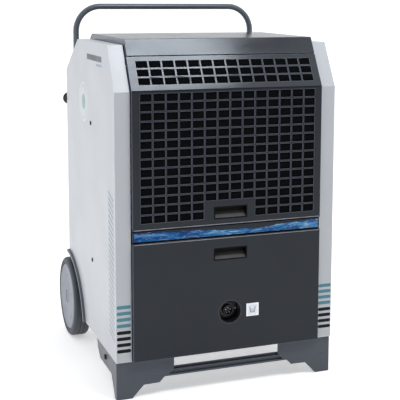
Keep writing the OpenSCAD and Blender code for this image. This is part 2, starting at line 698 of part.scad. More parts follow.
module screw_head(r) cylinder(h = 2, r1 = r, r2 = r * 0.75);
module panel_screws() color([0.75, 0.76, 0.78]) on_floor() {
    both_sides() for (z = [306, 681]) translate([half_w, 250, z]) rotate([0, 90, 0]) screw_head(6);
    both_sides() for (z = [290, 430, 570, 710]) translate([mid_x + 6, rear_face, z])
        rotate([-90, 0, 0]) screw_head(4.5);
    both_sides() translate([well_x - 12, rear_face, 170]) rotate([-90, 0, 0]) screw_head(4.5);
}

module foot_bolts() color([0.8, 0.81, 0.83]) on_floor() both_sides()
    translate([half_w - 1, foot_bolt_at[0], foot_bolt_at[1]]) rotate([0, 90, 0]) {
        washer_t = 0.8;
        cylinder(h = washer_t, r = 8);
        translate([0, 0, washer_t]) cylinder(h = 3.6, r = 6.4, $fn = 6);
    }

module hinge_rods() color("silver") on_floor() {
    rod_x(-250, 250, grille_axis[0], grille_axis[1], rod_r);
    rod_x(-250, 250, door_axis[0], door_axis[1], rod_r);
}

hinge_w = 16;
hinge_at = [-238, -8, 222];
module hinge_brackets() color([0.55, 0.57, 0.6]) on_floor() for (x = hinge_at) {
    near = slope_len - hinge_in - 4;
    far = near + 7;
    tail = cover_start + 28;
    bracket_in = 20;
    hook = 2.2;
    grip = 3;
    along_x(x, hinge_w) difference() {
        polygon([on_slope(near, hinge_in - 2.5), on_slope(far, hinge_in - 2.5), on_slope(far, 16),
            on_slope(tail - bracket_in, 16), on_slope(tail - bracket_in, sheet), on_slope(tail, sheet),
            on_slope(tail, bracket_in), on_slope(near, bracket_in)]);
        translate(grille_axis) circle(r = rod_r + fit);
    }
    along_x(x, hinge_w) difference() {
        polygon([[door_axis[0] - hook, door_axis[1] - grip], [4, door_axis[1] - grip], [7, pan_h],
            [30, pan_h], [30, pan_h + grip], [16, pan_h + grip], [12, door_axis[1] + grip],
            [door_axis[0] - hook, door_axis[1] + grip]]);
        translate(door_axis) circle(r = rod_r + fit);
    }
}

knuckles = [-190, -60, 60, 190];
function hole_x(c) = -holes_w / 2 + c * hole_pitch;
module grille_panel() color([0.25, 0.27, 0.3]) on_floor() {
    difference() {
        union() {
            along_x(-mid_x, mid_w) polygon(folded(grille_line, sheet));
            both_sides() along_x(mid_x - sheet, sheet) polygon(folded(grille_line, lip));
            block([-mid_x, -proud, grille_h], [mid_x, lip - proud, grille_h + sheet]);
        }
        for (r = [0 : rows - 1], c = [0 : cols - 1])
            if (r < rows - plain_rows || c < plain_cols[0] || c > plain_cols[1]) {
                z = knee[1] - first_row - r * row_pitch;
                block([hole_x(c), -proud - 1, z - hole[1]], [hole_x(c) + hole[0], 1 + sheet - proud, z]);
            }
        for (r = [0 : slope_rows - 1], c = [0 : cols - 1]) {
            s = first_slope_row + r * row_pitch;
            along_x(hole_x(c), hole[0]) polygon([on_slope(s, -1), on_slope(s, sheet + 1),
                on_slope(s + hole[1], sheet + 1), on_slope(s + hole[1], -1)]);
        }
        block([pull_x - pull[0] / 2, -proud - 1, grille_pull_h - pull[1] / 2],
            [pull_x + pull[0] / 2, sheet - proud + 1, grille_pull_h + pull[1] / 2]);
        rod_x(-mid_x - 1, mid_x + 1, grille_axis[0], grille_axis[1], rod_r + fit);
    }
    for (x = knuckles) difference() {
        rod_x(x - 20, x + 20, grille_axis[0], grille_axis[1], 4.6);
        rod_x(x - 21, x + 21, grille_axis[0], grille_axis[1], rod_r + fit);
    }
}

module finger_pull(h) color([0.05, 0.05, 0.06]) on_floor() {
    x0 = pull_x - pull[0] / 2;
    x1 = pull_x + pull[0] / 2;
    z0 = h - pull[1] / 2;
    z1 = h + pull[1] / 2;
    w = 1.5;
    back = pull_d - proud;
    difference() {
        block([x0, -proud, z0], [x1, back, z1]);
        block([x0 + w, -proud - 1, z0 + w], [x1 - w, back - w, z1 - w]);
    }
    along_x(x0 + w, pull[0] - 2 * w) polygon([[1 - proud, z0 + w], [back - w, z0 + w], [back - w, h]]);
}
module grille_pull() finger_pull(grille_pull_h);
module door_pull() finger_pull(door_pull_h);

foam_line = [[-proud, grille_h + 6], knee, on_slope(slope_len - 12, 0)];
foam_front = sheet + 0.5;
// Room that the upper pull takes out of the filter
module pull_room() block([pull_x - pull[0] / 2 - 2, -proud, grille_h],
    [pull_x + pull[0] / 2 + 2, pull_d, grille_pull_h + pull[1] / 2 + 2]);
module filter_foam() color([0.06, 0.06, 0.07]) on_floor() difference() {
    along_x(-mid_x + 6, mid_w - 12) polygon(layer(foam_line, foam_front, foam_front + foam_t));
    pull_room();
}

module filter_frame() color([0.5, 0.52, 0.54]) on_floor() difference() {
    deep = foam_front + foam_t;
    bar = 14;
    panes = 4;
    x = mid_x - 6;
    pitch = (2 * x - bar) / panes;
    along_x(-x, 2 * x) polygon(layer(foam_line, deep, deep + 1.5));
    for (i = [0 : panes - 1]) {
        start = bar - x + i * pitch;
        block([start, -proud, grille_h + 3 * bar], [start + pitch - bar, 30, knee[1] - bar]);
        along_x(start, pitch - bar) polygon([on_slope(8, 5), on_slope(8, 20),
            on_slope(slope_len - 2 * bar, 20), on_slope(slope_len - 2 * bar, 5)]);
    }
    pull_room();
}

module lower_door() color([0.2, 0.22, 0.25]) on_floor() {
    difference() {
        block([-mid_x, -proud, door_low], [mid_x, lip - proud, door_high]);
        block([-mid_x + sheet, sheet - proud, door_low + sheet], [mid_x - sheet, lip, door_high - sheet]);
        block([-mid_x + sheet, sheet - proud, door_low - 1], [mid_x - sheet, lip, door_low + sheet + 1]);
        block([pull_x - pull[0] / 2, -proud - 1, door_pull_h - pull[1] / 2],
            [pull_x + pull[0] / 2, sheet - proud + 1, door_pull_h + pull[1] / 2]);
        rod_y(-proud - 1, sheet - proud + 1, conn_at[0], conn_at[1], conn_r);
        rod_x(-mid_x - 1, mid_x + 1, door_axis[0], door_axis[1], rod_r + fit);
    }
    for (x = knuckles) difference() {
        rod_x(x - 20, x + 20, door_axis[0], door_axis[1], 4.6);
        rod_x(x - 21, x + 21, door_axis[0], door_axis[1], rod_r + fit);
    }
}

module door_connector() color([0.05, 0.05, 0.05]) on_floor() {
    x = conn_at[0];
    z = conn_at[1];
    back = conn_d - proud;
    difference() {
        rod_y(-proud, back + 2, x, z, conn_r);
        rod_y(-proud - 1, back, x, z, conn_r - 2);
    }
    difference() {
        rod_y(back - 14, back, x, z, 14);
        rod_y(back - 15, back - 3, x, z, 11.5);
    }
    for (a = [0 : 72 : 288]) rod_y(back - 12, back - 3, x + 7 * cos(a), z + 7 * sin(a), 1.5);
}

module door_label() color([0.8, 0.82, 0.84]) on_floor() {
    w = label_w / 2;
    block([label_at[0] - w, -proud - label_t, label_at[1] - w], [label_at[0] + w, -proud, label_at[1] + w]);
}

// One wheel, drawn on the right; its outer face is at wheel_x
module tyre() color([0.2, 0.21, 0.22]) on_floor() translate([wheel_x, axle_y, wheel_r])
    rotate([0, -90, 0]) rotate_extrude($fn = 120) {
        b = 9;
        polygon([[cover_r, 0.5], [wheel_r - b, 0.5], [wheel_r - 3, 3.5], [wheel_r, b],
            [wheel_r, tyre_w - b], [wheel_r - 3, tyre_w - 3.5], [wheel_r - b, tyre_w], [cover_r, tyre_w]]);
    }
module rim() color([0.5, 0.53, 0.56]) on_floor() translate([wheel_x, axle_y, wheel_r])
    rotate([0, -90, 0]) rotate_extrude($fn = 120)
        polygon([[axle_r + fit, 10], [20, 10], [20, 16], [cover_r - 12, 16], [cover_r - 12, 6],
            [cover_r - fit, 6], [cover_r - fit, tyre_w - 2], [cover_r - 12, tyre_w - 2], [cover_r - 12, 22],
            [22, 22], [22, tyre_w - 1], [axle_r + fit, tyre_w - 1]]);
module wheel_cover() color([0.68, 0.71, 0.75]) on_floor() translate([wheel_x, axle_y, wheel_r])
    rotate([0, -90, 0]) rotate_extrude($fn = 120)
        polygon([[0, 1.5], [16, 1.5], [20, 0], [cover_r - 8, 0], [cover_r - 0.6, 3], [cover_r - 0.6, 6],
            [cover_r - 10, 6], [cover_r - 12, 3.5], [0, 3.5]]);
module right_tyre() tyre();
module right_rim() rim();
module right_wheel_cover() wheel_cover();
module left_tyre() mirror([1, 0, 0]) tyre();
module left_rim() mirror([1, 0, 0]) rim();
module left_wheel_cover() mirror([1, 0, 0]) wheel_cover();

front_foot_frame();
side_rails();
rear_crossmember();
base_pan();
axle_brackets();
axle();
axle_clips();
wheel_wells();
arch_trims();
left_side_panel();
right_side_panel();
top_cover();
rear_panel();
outlet_guard();
mid_rail();
wave_strip();
front_posts();
rear_posts();
deck_plate();
evaporator();
condenser();
drip_tray();
drain_tube();
fan_shroud();
motor_bracket();
fan_motor();
fan_impeller();
compressor();
compressor_feet();
filter_drier();
copper_pipes();
water_tank();
float_arm();
electrical_box();
control_plate();
humidistat_knob();
rocker_switch();
mains_inlet();
handle();
handle_collars();
handle_clamps();
rear_buffers();
panel_screws();
foot_bolts();
hinge_rods();
hinge_brackets();
grille_panel();
grille_pull();
filter_foam();
filter_frame();
lower_door();
door_pull();
door_connector();
door_label();
left_tyre();
left_rim();
left_wheel_cover();
right_tyre();
right_rim();
right_wheel_cover();
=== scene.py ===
"""Wheeled commercial dehumidifier: detailed meshes, materials, light and camera.

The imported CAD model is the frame. Every node is replaced by a detailed piece: most are the
node's own solid with rounded folds and edges, and the rest are built here from the node's box.
Lengths are in metres.
"""
import json
from math import cos, exp, pi, radians, sin

import bmesh
import bpy
from mathutils import Matrix, Vector


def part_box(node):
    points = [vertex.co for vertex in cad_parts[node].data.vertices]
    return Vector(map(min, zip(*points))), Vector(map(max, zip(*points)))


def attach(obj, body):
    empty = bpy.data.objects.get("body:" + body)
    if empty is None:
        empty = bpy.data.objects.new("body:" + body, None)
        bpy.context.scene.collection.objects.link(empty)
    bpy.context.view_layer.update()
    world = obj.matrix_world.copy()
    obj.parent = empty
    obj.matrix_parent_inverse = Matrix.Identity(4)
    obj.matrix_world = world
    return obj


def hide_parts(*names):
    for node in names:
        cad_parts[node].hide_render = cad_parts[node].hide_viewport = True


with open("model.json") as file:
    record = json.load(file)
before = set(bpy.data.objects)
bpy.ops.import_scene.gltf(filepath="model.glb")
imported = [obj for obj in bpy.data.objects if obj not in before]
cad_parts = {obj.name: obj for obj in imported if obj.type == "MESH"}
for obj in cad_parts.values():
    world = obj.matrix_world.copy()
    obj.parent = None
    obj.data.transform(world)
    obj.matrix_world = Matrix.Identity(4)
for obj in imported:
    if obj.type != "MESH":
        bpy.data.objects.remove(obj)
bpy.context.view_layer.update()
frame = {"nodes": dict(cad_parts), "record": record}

MM = 0.001
WELD = 0.005 * MM
X, Y, Z = Vector((1, 0, 0)), Vector((0, 1, 0)), Vector((0, 0, 1))
SLOTS = {s["node"]: s["material_slot"] for s in frame["record"]["subparts"]}
BODY = {n: b for b, ns in frame["record"]["behaviour"]["bodies"].items() for n in ns}
SIDES = (("left", -1), ("right", 1))


# ---------------------------------------------------------------- camera, light and floor

def camera():
    """The camera at the photograph's viewing angle."""
    data = bpy.data.cameras.new("camera")
    data.sensor_width = 36
    data.lens = 89.81
    data.shift_x = -0.085
    data.shift_y = -0.1858
    cam = bpy.data.objects.new("camera", data)
    turn = (Matrix.Rotation(radians(-21.22), 4, "Z") @ Matrix.Rotation(radians(82.503), 4, "X")
            @ Matrix.Rotation(radians(0.315), 4, "Z"))
    cam.matrix_world = Matrix.Translation((-0.9005, -2.6849, 1.0243)) @ turn
    bpy.context.scene.collection.objects.link(cam)
    bpy.context.scene.camera = cam


BOX_TINT = (0.94, 0.97, 1)
STUDIO_TINT = (0.94, 0.965, 1)
# brightness from the front and below to the back and above: place on the ramp, level
STUDIO_LEVELS = ((0.36, 0.03), (0.5, 0.3), (0.6, 0.62), (0.9, 0.92), (0.98, 0.62))
STUDIO_LEAN = (-0.1, 1, 0.85)
STUDIO_STRENGTH = 1.4
BACKDROP = (0.9, 0.9, 0.9, 1)
FLOOR_GLOW = 0.41


def softbox(name, at, aim, size, power):
    """A rectangular lamp that faces the point aim. Its size is in metres, its power in watts."""
    data = bpy.data.lights.new(name, "AREA")
    data.shape = "RECTANGLE"
    data.size, data.size_y = size
    data.energy = power
    data.color = BOX_TINT
    light = bpy.data.objects.new(name, data)
    light.location = at
    light.rotation_mode = "QUATERNION"
    light.rotation_quaternion = (Vector(aim) - Vector(at)).to_track_quat("-Z", "Y")
    bpy.context.scene.collection.objects.link(light)
    return light


def studio():
    """A white studio, bright above and behind the machine and dim in front of it, and three softboxes."""
    world = bpy.data.worlds.new("studio")
    bpy.context.scene.world = world
    world.use_nodes = True
    tree = world.node_tree
    coords = tree.nodes.new("ShaderNodeTexCoord")
    lean = tree.nodes.new("ShaderNodeVectorMath")
    lean.operation = "DOT_PRODUCT"
    lean.inputs[1].default_value = STUDIO_LEAN
    spread = tree.nodes.new("ShaderNodeMapRange")
    spread.inputs["From Min"].default_value = -1
    spread.inputs["From Max"].default_value = 1
    ramp = tree.nodes.new("ShaderNodeValToRGB")
    keys = ramp.color_ramp.elements
    for place, _ in STUDIO_LEVELS[1:-1]:
        keys.new(place)
    for key, (place, level) in zip(keys, STUDIO_LEVELS):
        key.position = place
        key.color = (*shade(STUDIO_TINT, level), 1)
    back = tree.nodes["Background"]
    back.inputs["Strength"].default_value = STUDIO_STRENGTH
    tree.links.new(coords.outputs["Generated"], lean.inputs[0])
    tree.links.new(lean.outputs["Value"], spread.inputs["Value"])
    tree.links.new(spread.outputs["Result"], ramp.inputs["Fac"])
    seen = tree.nodes.new("ShaderNodeLightPath")
    backdrop = tree.nodes.new("ShaderNodeMix")
    backdrop.data_type = "RGBA"
    a, b = [i for i in backdrop.inputs if i.type == "RGBA"]
    b.default_value = BACKDROP
    tree.links.new(seen.outputs["Is Camera Ray"], backdrop.inputs[0])
    tree.links.new(ramp.outputs["Color"], a)
    tree.links.new([o for o in backdrop.outputs if o.type == "RGBA"][0], back.inputs["Color"])
    softbox("overhead_box", at=(0.46, -1.42, 2.6), aim=(0, -0.25, 0.85), size=(0.62, 0.5), power=24)
    softbox("fill_box", at=(1.6, -1.5, 2.5), aim=(0.1, -0.25, 0.85), size=(1.3, 0.9), power=9)
    beside = softbox("side_box", at=(-2.7, -0.48, 1.3), aim=(-0.3, 0, 0.55), size=(0.5, 2.2), power=13)
    beside.visible_glossy = False
    bpy.context.scene.view_settings.view_transform = "Standard"


def floor():
    """White paper that glows a little, so that it stays as light as the backdrop."""
    bm = bmesh.new()
    bmesh.ops.create_grid(bm, x_segments=1, y_segments=1, size=30)
    mesh = bpy.data.meshes.new("floor")
    bm.to_mesh(mesh)
    bm.free()
    ground = bpy.data.objects.new("floor", mesh)
    bpy.context.scene.collection.objects.link(ground)
    mat = surface("floor_paper", (0.94, 0.925, 0.905), 0.8, grain=(160, 0.03 * MM), mottle=(2.5, 0.015))
    glow = mat.node_tree.nodes["Principled BSDF"]
    glow.inputs["Emission Color"].default_value = (1, 1, 1, 1)
    glow.inputs["Emission Strength"].default_value = FLOOR_GLOW
    mesh.materials.append(mat)


# ---------------------------------------------------------------- material building

class Shader:
    """A node material with a Principled shader and helpers for the layers it needs."""

    def __init__(self, name):
        self.mat = bpy.data.materials.new(name)
        self.mat.use_nodes = True
        self.tree = self.mat.node_tree
        self.shader = self.tree.nodes["Principled BSDF"]
        self.coords = self.node("ShaderNodeTexCoord").outputs["Object"]

    def node(self, kind, **values):
        made = self.tree.nodes.new(kind)
        for key, value in values.items():
            setattr(made, key, value)
        return made

    def link(self, output, to):
        self.tree.links.new(output, to)

    def fix(self, **values):
        for key, value in values.items():
            self.shader.inputs[key.replace("_", " ")].default_value = value

    def stretched(self, scale):
        """Object coordinates scaled along the three axes."""
        made = self.node("ShaderNodeMapping")
        made.inputs["Scale"].default_value = scale
        self.link(self.coords, made.inputs["Vector"])
        return made.outputs["Vector"]

    def noise(self, scale, detail=3, rough=0.5, stretch=None, distortion=0):
        made = self.node("ShaderNodeTexNoise")
        made.inputs["Scale"].default_value = scale
        made.inputs["Detail"].default_value = detail
        made.inputs["Roughness"].default_value = rough
        made.inputs["Distortion"].default_value = distortion
        self.link(self.stretched(stretch) if stretch else self.coords, made.inputs["Vector"])
        return made.outputs["Fac"]

    def cells(self, scale, feature="F1"):
        made = self.node("ShaderNodeTexVoronoi", feature=feature)
        made.inputs["Scale"].default_value = scale
        self.link(self.coords, made.inputs["Vector"])
        return made.outputs

    def ranged(self, value, low, high, a=0.0, b=1.0):
        """value, taken from low..high to a..b."""
        made = self.node("ShaderNodeMapRange")
        for key, number in (("From Min", low), ("From Max", high), ("To Min", a), ("To Max", b)):
            made.inputs[key].default_value = number
        self.link(value, made.inputs["Value"])
        return made.outputs["Result"]

    def ramp(self, value, stops):
        made = self.node("ShaderNodeValToRGB")
        keys = made.color_ramp.elements
        while len(keys) < len(stops):
            keys.new(0.5)
        for key, (place, colour) in zip(keys, stops):
            key.position = place
            key.color = (*colour, 1)
        self.link(value, made.inputs["Fac"])
        return made.outputs["Color"]

    def shades(self, value, base, dark, light, low=0.3, high=0.7):
        """The colour base times dark where value is low, to base times light where it is high."""
        return self.ramp(value, [(low, shade(base, dark)), (high, shade(base, light))])

    def mix(self, factor, a, b):
        """Colour a where factor is 0 and colour b where it is 1; either may be a link."""
        made = self.node("ShaderNodeMix", data_type="RGBA")
        for name, colour in (("A", a), ("B", b)):
            socket = [s for s in made.inputs if s.name == name and s.type == "RGBA"][0]
            if isinstance(colour, tuple):
                socket.default_value = (*colour, 1)
            else:
                self.link(colour, socket)
        self.link(factor, made.inputs[0])
        return [s for s in made.outputs if s.type == "RGBA"][0]

    def bump(self, height, distance, strength=1.0):
        made = self.node("ShaderNodeBump")
        made.inputs["Strength"].default_value = strength
        made.inputs["Distance"].default_value = distance
        self.link(height, made.inputs["Height"])
        last = self.shader.inputs["Normal"]
        if last.is_linked:
            self.link(last.links[0].from_socket, made.inputs["Normal"])
        self.link(made.outputs["Normal"], last)

    def facing(self, axis):
        """How far the flat face is turned towards +axis, from -1 to 1."""
        straight = self.node("ShaderNodeNewGeometry")
        split = self.node("ShaderNodeSeparateXYZ")
        self.link(straight.outputs["True Normal"], split.inputs[0])
        return split.outputs[axis]

    def edges(self, radius, low, high):
        """0 on flat faces and 1 on edges and folds, from how far the normal turns within the radius."""
        turned = self.node("ShaderNodeBevel", samples=6)
        turned.inputs["Radius"].default_value = radius
        straight = self.node("ShaderNodeNewGeometry")
        compared = self.node("ShaderNodeVectorMath", operation="DOT_PRODUCT")
        self.link(turned.outputs["Normal"], compared.inputs[0])
        self.link(straight.outputs["True Normal"], compared.inputs[1])
        return self.ranged(compared.outputs["Value"], low, high, 1, 0)

    def colour(self, value):
        self.link(value, self.shader.inputs["Base Color"])

    def rough(self, value):
        self.link(value, self.shader.inputs["Roughness"])


def shade(colour, factor):
    return tuple(min(1, c * factor) for c in colour)


def surface(name, colour, rough, metallic=0.0, grain=(900, 0.01 * MM), mottle=(6, 0.04), coat=0.0, gloss=0.5):
    """A painted, moulded or metal surface: cloudy colour, uneven gloss and a fine grain.
    grain is its scale and depth, mottle its scale and strength."""
    s = Shader(name)
    s.fix(Metallic=metallic, Coat_Weight=coat, Coat_Roughness=0.12, Specular_IOR_Level=gloss)
    s.colour(s.shades(s.noise(mottle[0], 4, 0.55), colour, 1 - mottle[1], 1 + mottle[1]))
    fine = s.noise(grain[0], 2)
    s.rough(s.ranged(s.noise(14, 3), 0.3, 0.7, rough - 0.06, rough + 0.06))
    s.bump(fine, grain[1])
    return s.mat


def ink(name, colour, rough=0.4, **more):
    """Print or film with next to no grain."""
    return surface(name, colour, rough, grain=(900, 0.004 * MM), **more)


# ---------------------------------------------------------------- the materials

def white_paint(name):
    """Pale grey powder coat with a soft orange-peel skin, faint scuffs, and pale edges that are a painted
    highlight on its folds.
    """
    s = Shader(name)
    base = (0.426, 0.443, 0.469)
    tone = s.shades(s.noise(3.5, 3), base, 0.985, 1.015)
    scuff = s.noise(30, 6, 0.7, (1, 1, 0.25))
    tone = s.mix(s.ranged(scuff, 0.66, 0.8, 0, 0.12), tone, (0.55, 0.57, 0.6))
    # painted highlight: edges and folds mixed to a paler grey, where the bends catch the light
    s.colour(s.mix(s.edges(2.2 * MM, 0.9, 0.995), tone, (0.74, 0.76, 0.79)))
    s.fix(Coat_Weight=0.25, Coat_Roughness=0.22)
    s.rough(s.ranged(s.noise(9, 3), 0.3, 0.7, 0.34, 0.44))
    s.bump(s.noise(420, 2, 0.4), 0.012 * MM)
    return s.mat


def dark_coat(name, base, rough, painted_light=5, gloss=0.25, painted_side_light=1):
    """Semi-gloss anthracite powder coat with a fine grain, specks and scuffs. Its edges are paler by one
    factor, partly rubbed paint and partly a painted highlight where they catch the light, and its faces to
    the left and right are paler by another, painted light from the side."""
    s = Shader(name)
    tone = s.shades(s.noise(5, 4), base, 0.93, 1.07)
    dust = s.noise(1100, 1)
    tone = s.mix(s.ranged(dust, 0.64, 0.78, 0, 0.25), tone, shade(base, 1.9))
    # painted side light: faces turned left or right are mixed to a paler tone, standing in for light falling
    # on them from the side
    if painted_side_light > 1:
        side_light_mask = s.node("ShaderNodeMath", operation="ABSOLUTE")
        s.link(s.facing("X"), side_light_mask.inputs[0])
        tone = s.mix(s.ranged(side_light_mask.outputs["Value"], 0.5, 0.9), tone, shade(base, painted_side_light))
    # paler edges and folds: partly rubbed paint, partly a painted highlight where the bends catch the light
    tone = s.mix(s.edges(2.6 * MM, 0.86, 0.99), tone, shade(base, painted_light))
    s.colour(tone)
    s.fix(Specular_IOR_Level=gloss, Specular_Tint=(0.87, 0.93, 1, 1))
    streak = s.noise(25, 5, 0.6, (0.4, 1, 1.6))
    s.rough(s.ranged(streak, 0.3, 0.75, rough - 0.03, rough + 0.06))
    s.bump(s.noise(760, 2, 0.5), 0.014 * MM)
    return s.mat


def zinc_sheet(name):
    """Galvanised sheet with a spangle of flat crystals."""
    s = Shader(name)
    crystal = s.cells(85)
    s.colour(s.ramp(crystal["Color"], [(0.2, (0.36, 0.38, 0.41)), (0.8, (0.5, 0.52, 0.55))]))
    s.fix(Metallic=0.9)
    s.rough(s.ranged(crystal["Color"], 0, 1, 0.32, 0.5))
    s.bump(s.noise(300, 3), 0.02 * MM)
    return s.mat


def brushed(name, colour, along, rough=0.3):
    """Metal with fine lines that run along one axis: 0, 1 or 2 for X, Y or Z."""
    s = Shader(name)
    stretch = tuple(0.02 if i == along else 1 for i in range(3))
    lines = s.noise(1500, 4, 0.6, stretch)
    s.colour(s.shades(lines, colour, 0.88, 1.08))
    s.fix(Metallic=1.0)
    s.rough(s.ranged(lines, 0.25, 0.75, rough - 0.06, rough + 0.1))
    s.bump(lines, 0.012 * MM)
    return s.mat


def copper(name):
    """Drawn copper tube with brown tarnish in patches."""
    s = Shader(name)
    patch = s.noise(38, 5, 0.6)
    s.colour(s.ramp(patch, [(0.35, (0.42, 0.19, 0.11)), (0.6, (0.78, 0.42, 0.27))]))
    s.fix(Metallic=1.0)
    s.rough(s.ranged(patch, 0.3, 0.7, 0.5, 0.25))
    s.bump(s.noise(500, 2), 0.01 * MM)
    return s.mat


def wave_film(name):
    """Printed water: deep blue on the left, lighter on the right, with pale broken crests."""
    s = Shader(name)
    flow = s.noise(28, 5, 0.62, (0.55, 1, 2.6), 1.4)
    deep = s.ramp(flow, [(0.4, (0.001, 0.03, 0.15)), (0.53, (0.005, 0.1, 0.31)), (0.66, (0.09, 0.28, 0.5))])
    light = s.ramp(flow, [(0.4, (0.004, 0.065, 0.22)), (0.53, (0.04, 0.19, 0.4)), (0.66, (0.24, 0.41, 0.57))])
    split = s.node("ShaderNodeSeparateXYZ")
    s.link(s.coords, split.inputs[0])
    tone = s.mix(s.ranged(split.outputs["X"], -0.25, 0.25), deep, light)
    crest = s.noise(95, 4, 0.7, (0.35, 1, 2.6), 2.2)
    tone = s.mix(s.ranged(crest, 0.57, 0.66, 0, 0.75), tone, (0.58, 0.68, 0.78))
    s.colour(tone)
    s.fix(Roughness=0.45, Specular_IOR_Level=0.12)
    s.bump(s.noise(200, 2), 0.01 * MM)
    return s.mat


def filter_foam(name):
    """Open-cell foam: dark pores between fine strands."""
    s = Shader(name)
    cell = s.cells(620, "DISTANCE_TO_EDGE")["Distance"]
    s.colour(s.ramp(cell, [(0.02, (0.008, 0.0085, 0.01)), (0.12, (0.0015, 0.0016, 0.002))]))
    s.fix(Roughness=0.95, Specular_IOR_Level=0.02)
    s.bump(cell, 0.6 * MM, 0.7)
    s.bump(s.noise(130, 3), 0.5 * MM, 0.5)
    return s.mat


def tank_plastic(name):
    """Milky moulded polyethylene that lets some light through."""
    s = Shader(name)
    s.colour(s.shades(s.noise(12, 4), (0.74, 0.77, 0.79), 0.94, 1.04))
    s.fix(Transmission_Weight=0.25, IOR=1.5, Subsurface_Weight=0.2, Subsurface_Scale=0.01)
    s.rough(s.ranged(s.noise(40, 3), 0.3, 0.7, 0.38, 0.52))
    s.bump(s.noise(600, 2), 0.02 * MM)
    return s.mat


def pull_plastic(name):
    """Black moulding whose upward faces are painted grey, painted light where the light from above falls on
    them.
    """
    s = Shader(name)
    # painted top light: faces turned upwards get a lit grey and the rest stays black
    painted_light = s.ranged(s.facing("Z"), 0.3, 0.6)
    grey = s.ramp(s.noise(30, 3), [(0.3, (0.085, 0.082, 0.085)), (0.7, (0.115, 0.112, 0.115))])
    s.colour(s.mix(painted_light, (0.003, 0.003, 0.0035), grey))
    s.fix(Roughness=0.55, Specular_IOR_Level=0.1)
    s.bump(s.noise(1100, 2), 0.02 * MM)
    return s.mat


def tyre_rubber(name):
    """Grey rubber with a matt skin and pale dust where it runs."""
    s = Shader(name)
    dust = s.noise(24, 6, 0.65)
    s.colour(s.shades(dust, (0.044, 0.052, 0.064), 0.85, 1.35, low=0.35))
    s.fix(Specular_IOR_Level=0.4)
    s.rough(s.ranged(dust, 0.3, 0.7, 0.5, 0.64))
    s.bump(s.noise(900, 3), 0.03 * MM)
    return s.mat


MAKERS = {
    "white_paint": white_paint,
    # dark paint: edges paler (rubbed paint and painted highlight) and faces turned left and right painted
    # paler as side light, both seven times the base
    "dark_paint": lambda name: dark_coat(name, (0.014, 0.016, 0.0205), 0.16, 7, painted_side_light=7),
    "frame_paint": lambda name: dark_coat(name, (0.072, 0.081, 0.097), 0.3, 2),
    "handle_paint": lambda name: dark_coat(name, (0.095, 0.11, 0.13), 0.3, 1, 0.6),
    "motor_paint": lambda name: dark_coat(name, (0.016, 0.016, 0.018), 0.4, 3),
    "zinc_sheet": zinc_sheet,
    "bright_steel": lambda name: brushed(name, (0.62, 0.63, 0.65), 0, 0.27),
    "fin_aluminium": lambda name: brushed(name, (0.72, 0.73, 0.75), 2, 0.35),
    "copper": copper,
    "edge_trim": lambda name: surface(name, (0.115, 0.13, 0.155), 0.45, grain=(700, 0.03 * MM)),
    "guard_wire": lambda name: dark_coat(name, (0.028, 0.03, 0.033), 0.36, 2),
    "wave_film": wave_film,
    "tray_plastic": lambda name: surface(name, (0.1, 0.11, 0.13), 0.5, grain=(500, 0.03 * MM)),
    "tube_rubber": lambda name: surface(name, (0.45, 0.47, 0.5), 0.4, grain=(400, 0.02 * MM)),
    "black_plastic": lambda name: surface(name, (0.009, 0.009, 0.011), 0.5, grain=(1300, 0.03 * MM)),
    "black_rubber": lambda name: surface(name, (0.006, 0.006, 0.007), 0.8, grain=(600, 0.04 * MM)),
    "tank_plastic": tank_plastic,
    "float_plastic": lambda name: surface(name, (0.78, 0.28, 0.03), 0.35, coat=0.3),
    "brushed_plate": lambda name: brushed(name, (0.52, 0.54, 0.57), 0, 0.34),
    "rocker_plastic": lambda name: surface(name, (0.02, 0.24, 0.06), 0.3, coat=0.4),
    "filter_foam": filter_foam,
    "silver_label": lambda name: brushed(name, (0.74, 0.76, 0.8), 2, 0.3),
    "tyre_rubber": tyre_rubber,
    "black_zinc": lambda name: surface(name, (0.02, 0.021, 0.025), 0.42, metallic=0.3, mottle=(300, 0.2)),
    "pull_plastic": pull_plastic,
    "rim_plastic": lambda name: surface(name, (0.19, 0.21, 0.24), 0.45, grain=(800, 0.03 * MM)),
    "cover_plastic": lambda name: surface(name, (0.185, 0.205, 0.245), 0.42, grain=(800, 0.02 * MM)),
}
made_materials = {}


def material(slot):
    if slot not in made_materials:
        made_materials[slot] = MAKERS[slot](slot)
    return made_materials[slot]


# ---------------------------------------------------------------- mesh building

def mm(*points):
    """Profile points given in millimetres; a number of flats stays as it is."""
    return [(r * MM, h * MM, *flats) for r, h, *flats in points]


def rect(x0, z0, x1, z1):
    """Outline of a rectangle between two corners."""
    return [(x0, z0), (x1, z0), (x1, z1), (x0, z1)]


def turns(count, start=0):
    """Angles of count places spread evenly round a circle, from start in degrees."""
    return [radians(start) + 2 * pi * i / count for i in range(count)]


def spoke(a, x=X, y=Z):
    """Unit vector at angle a, turning from x towards y."""
    return cos(a) * x + sin(a) * y


def middle_at(node, y):
    """The middle of the node's box in x and z, at the depth y."""
    lo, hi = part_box(node)
    return Vector(((lo.x + hi.x) / 2, y, (lo.z + hi.z) / 2))


def axes_of(axis):
    """Two unit vectors square to the axis, and the axis."""
    z = Vector(axis).normalized()
    x = Z.cross(z) if abs(z.z) < 0.9 else X.cross(z)
    x.normalize()
    return x, z.cross(x), z


def flat_sided(a, flats):
    """Radius factor of a regular polygon with this many flats, at angle a."""
    step = 2 * pi / flats
    return cos(step / 2) / cos(a % step - step / 2)


def skin(bm, a, b):
    """Faces between two rings, either of which may be a single point."""
    n = max(len(a), len(b))
    for i in range(n):
        j = (i + 1) % n
        corners = [a[i % len(a)], a[j % len(a)], b[j % len(b)], b[i % len(b)]]
        unique = list(dict.fromkeys(corners))
        if len(unique) > 2:
            bm.faces.new(unique)


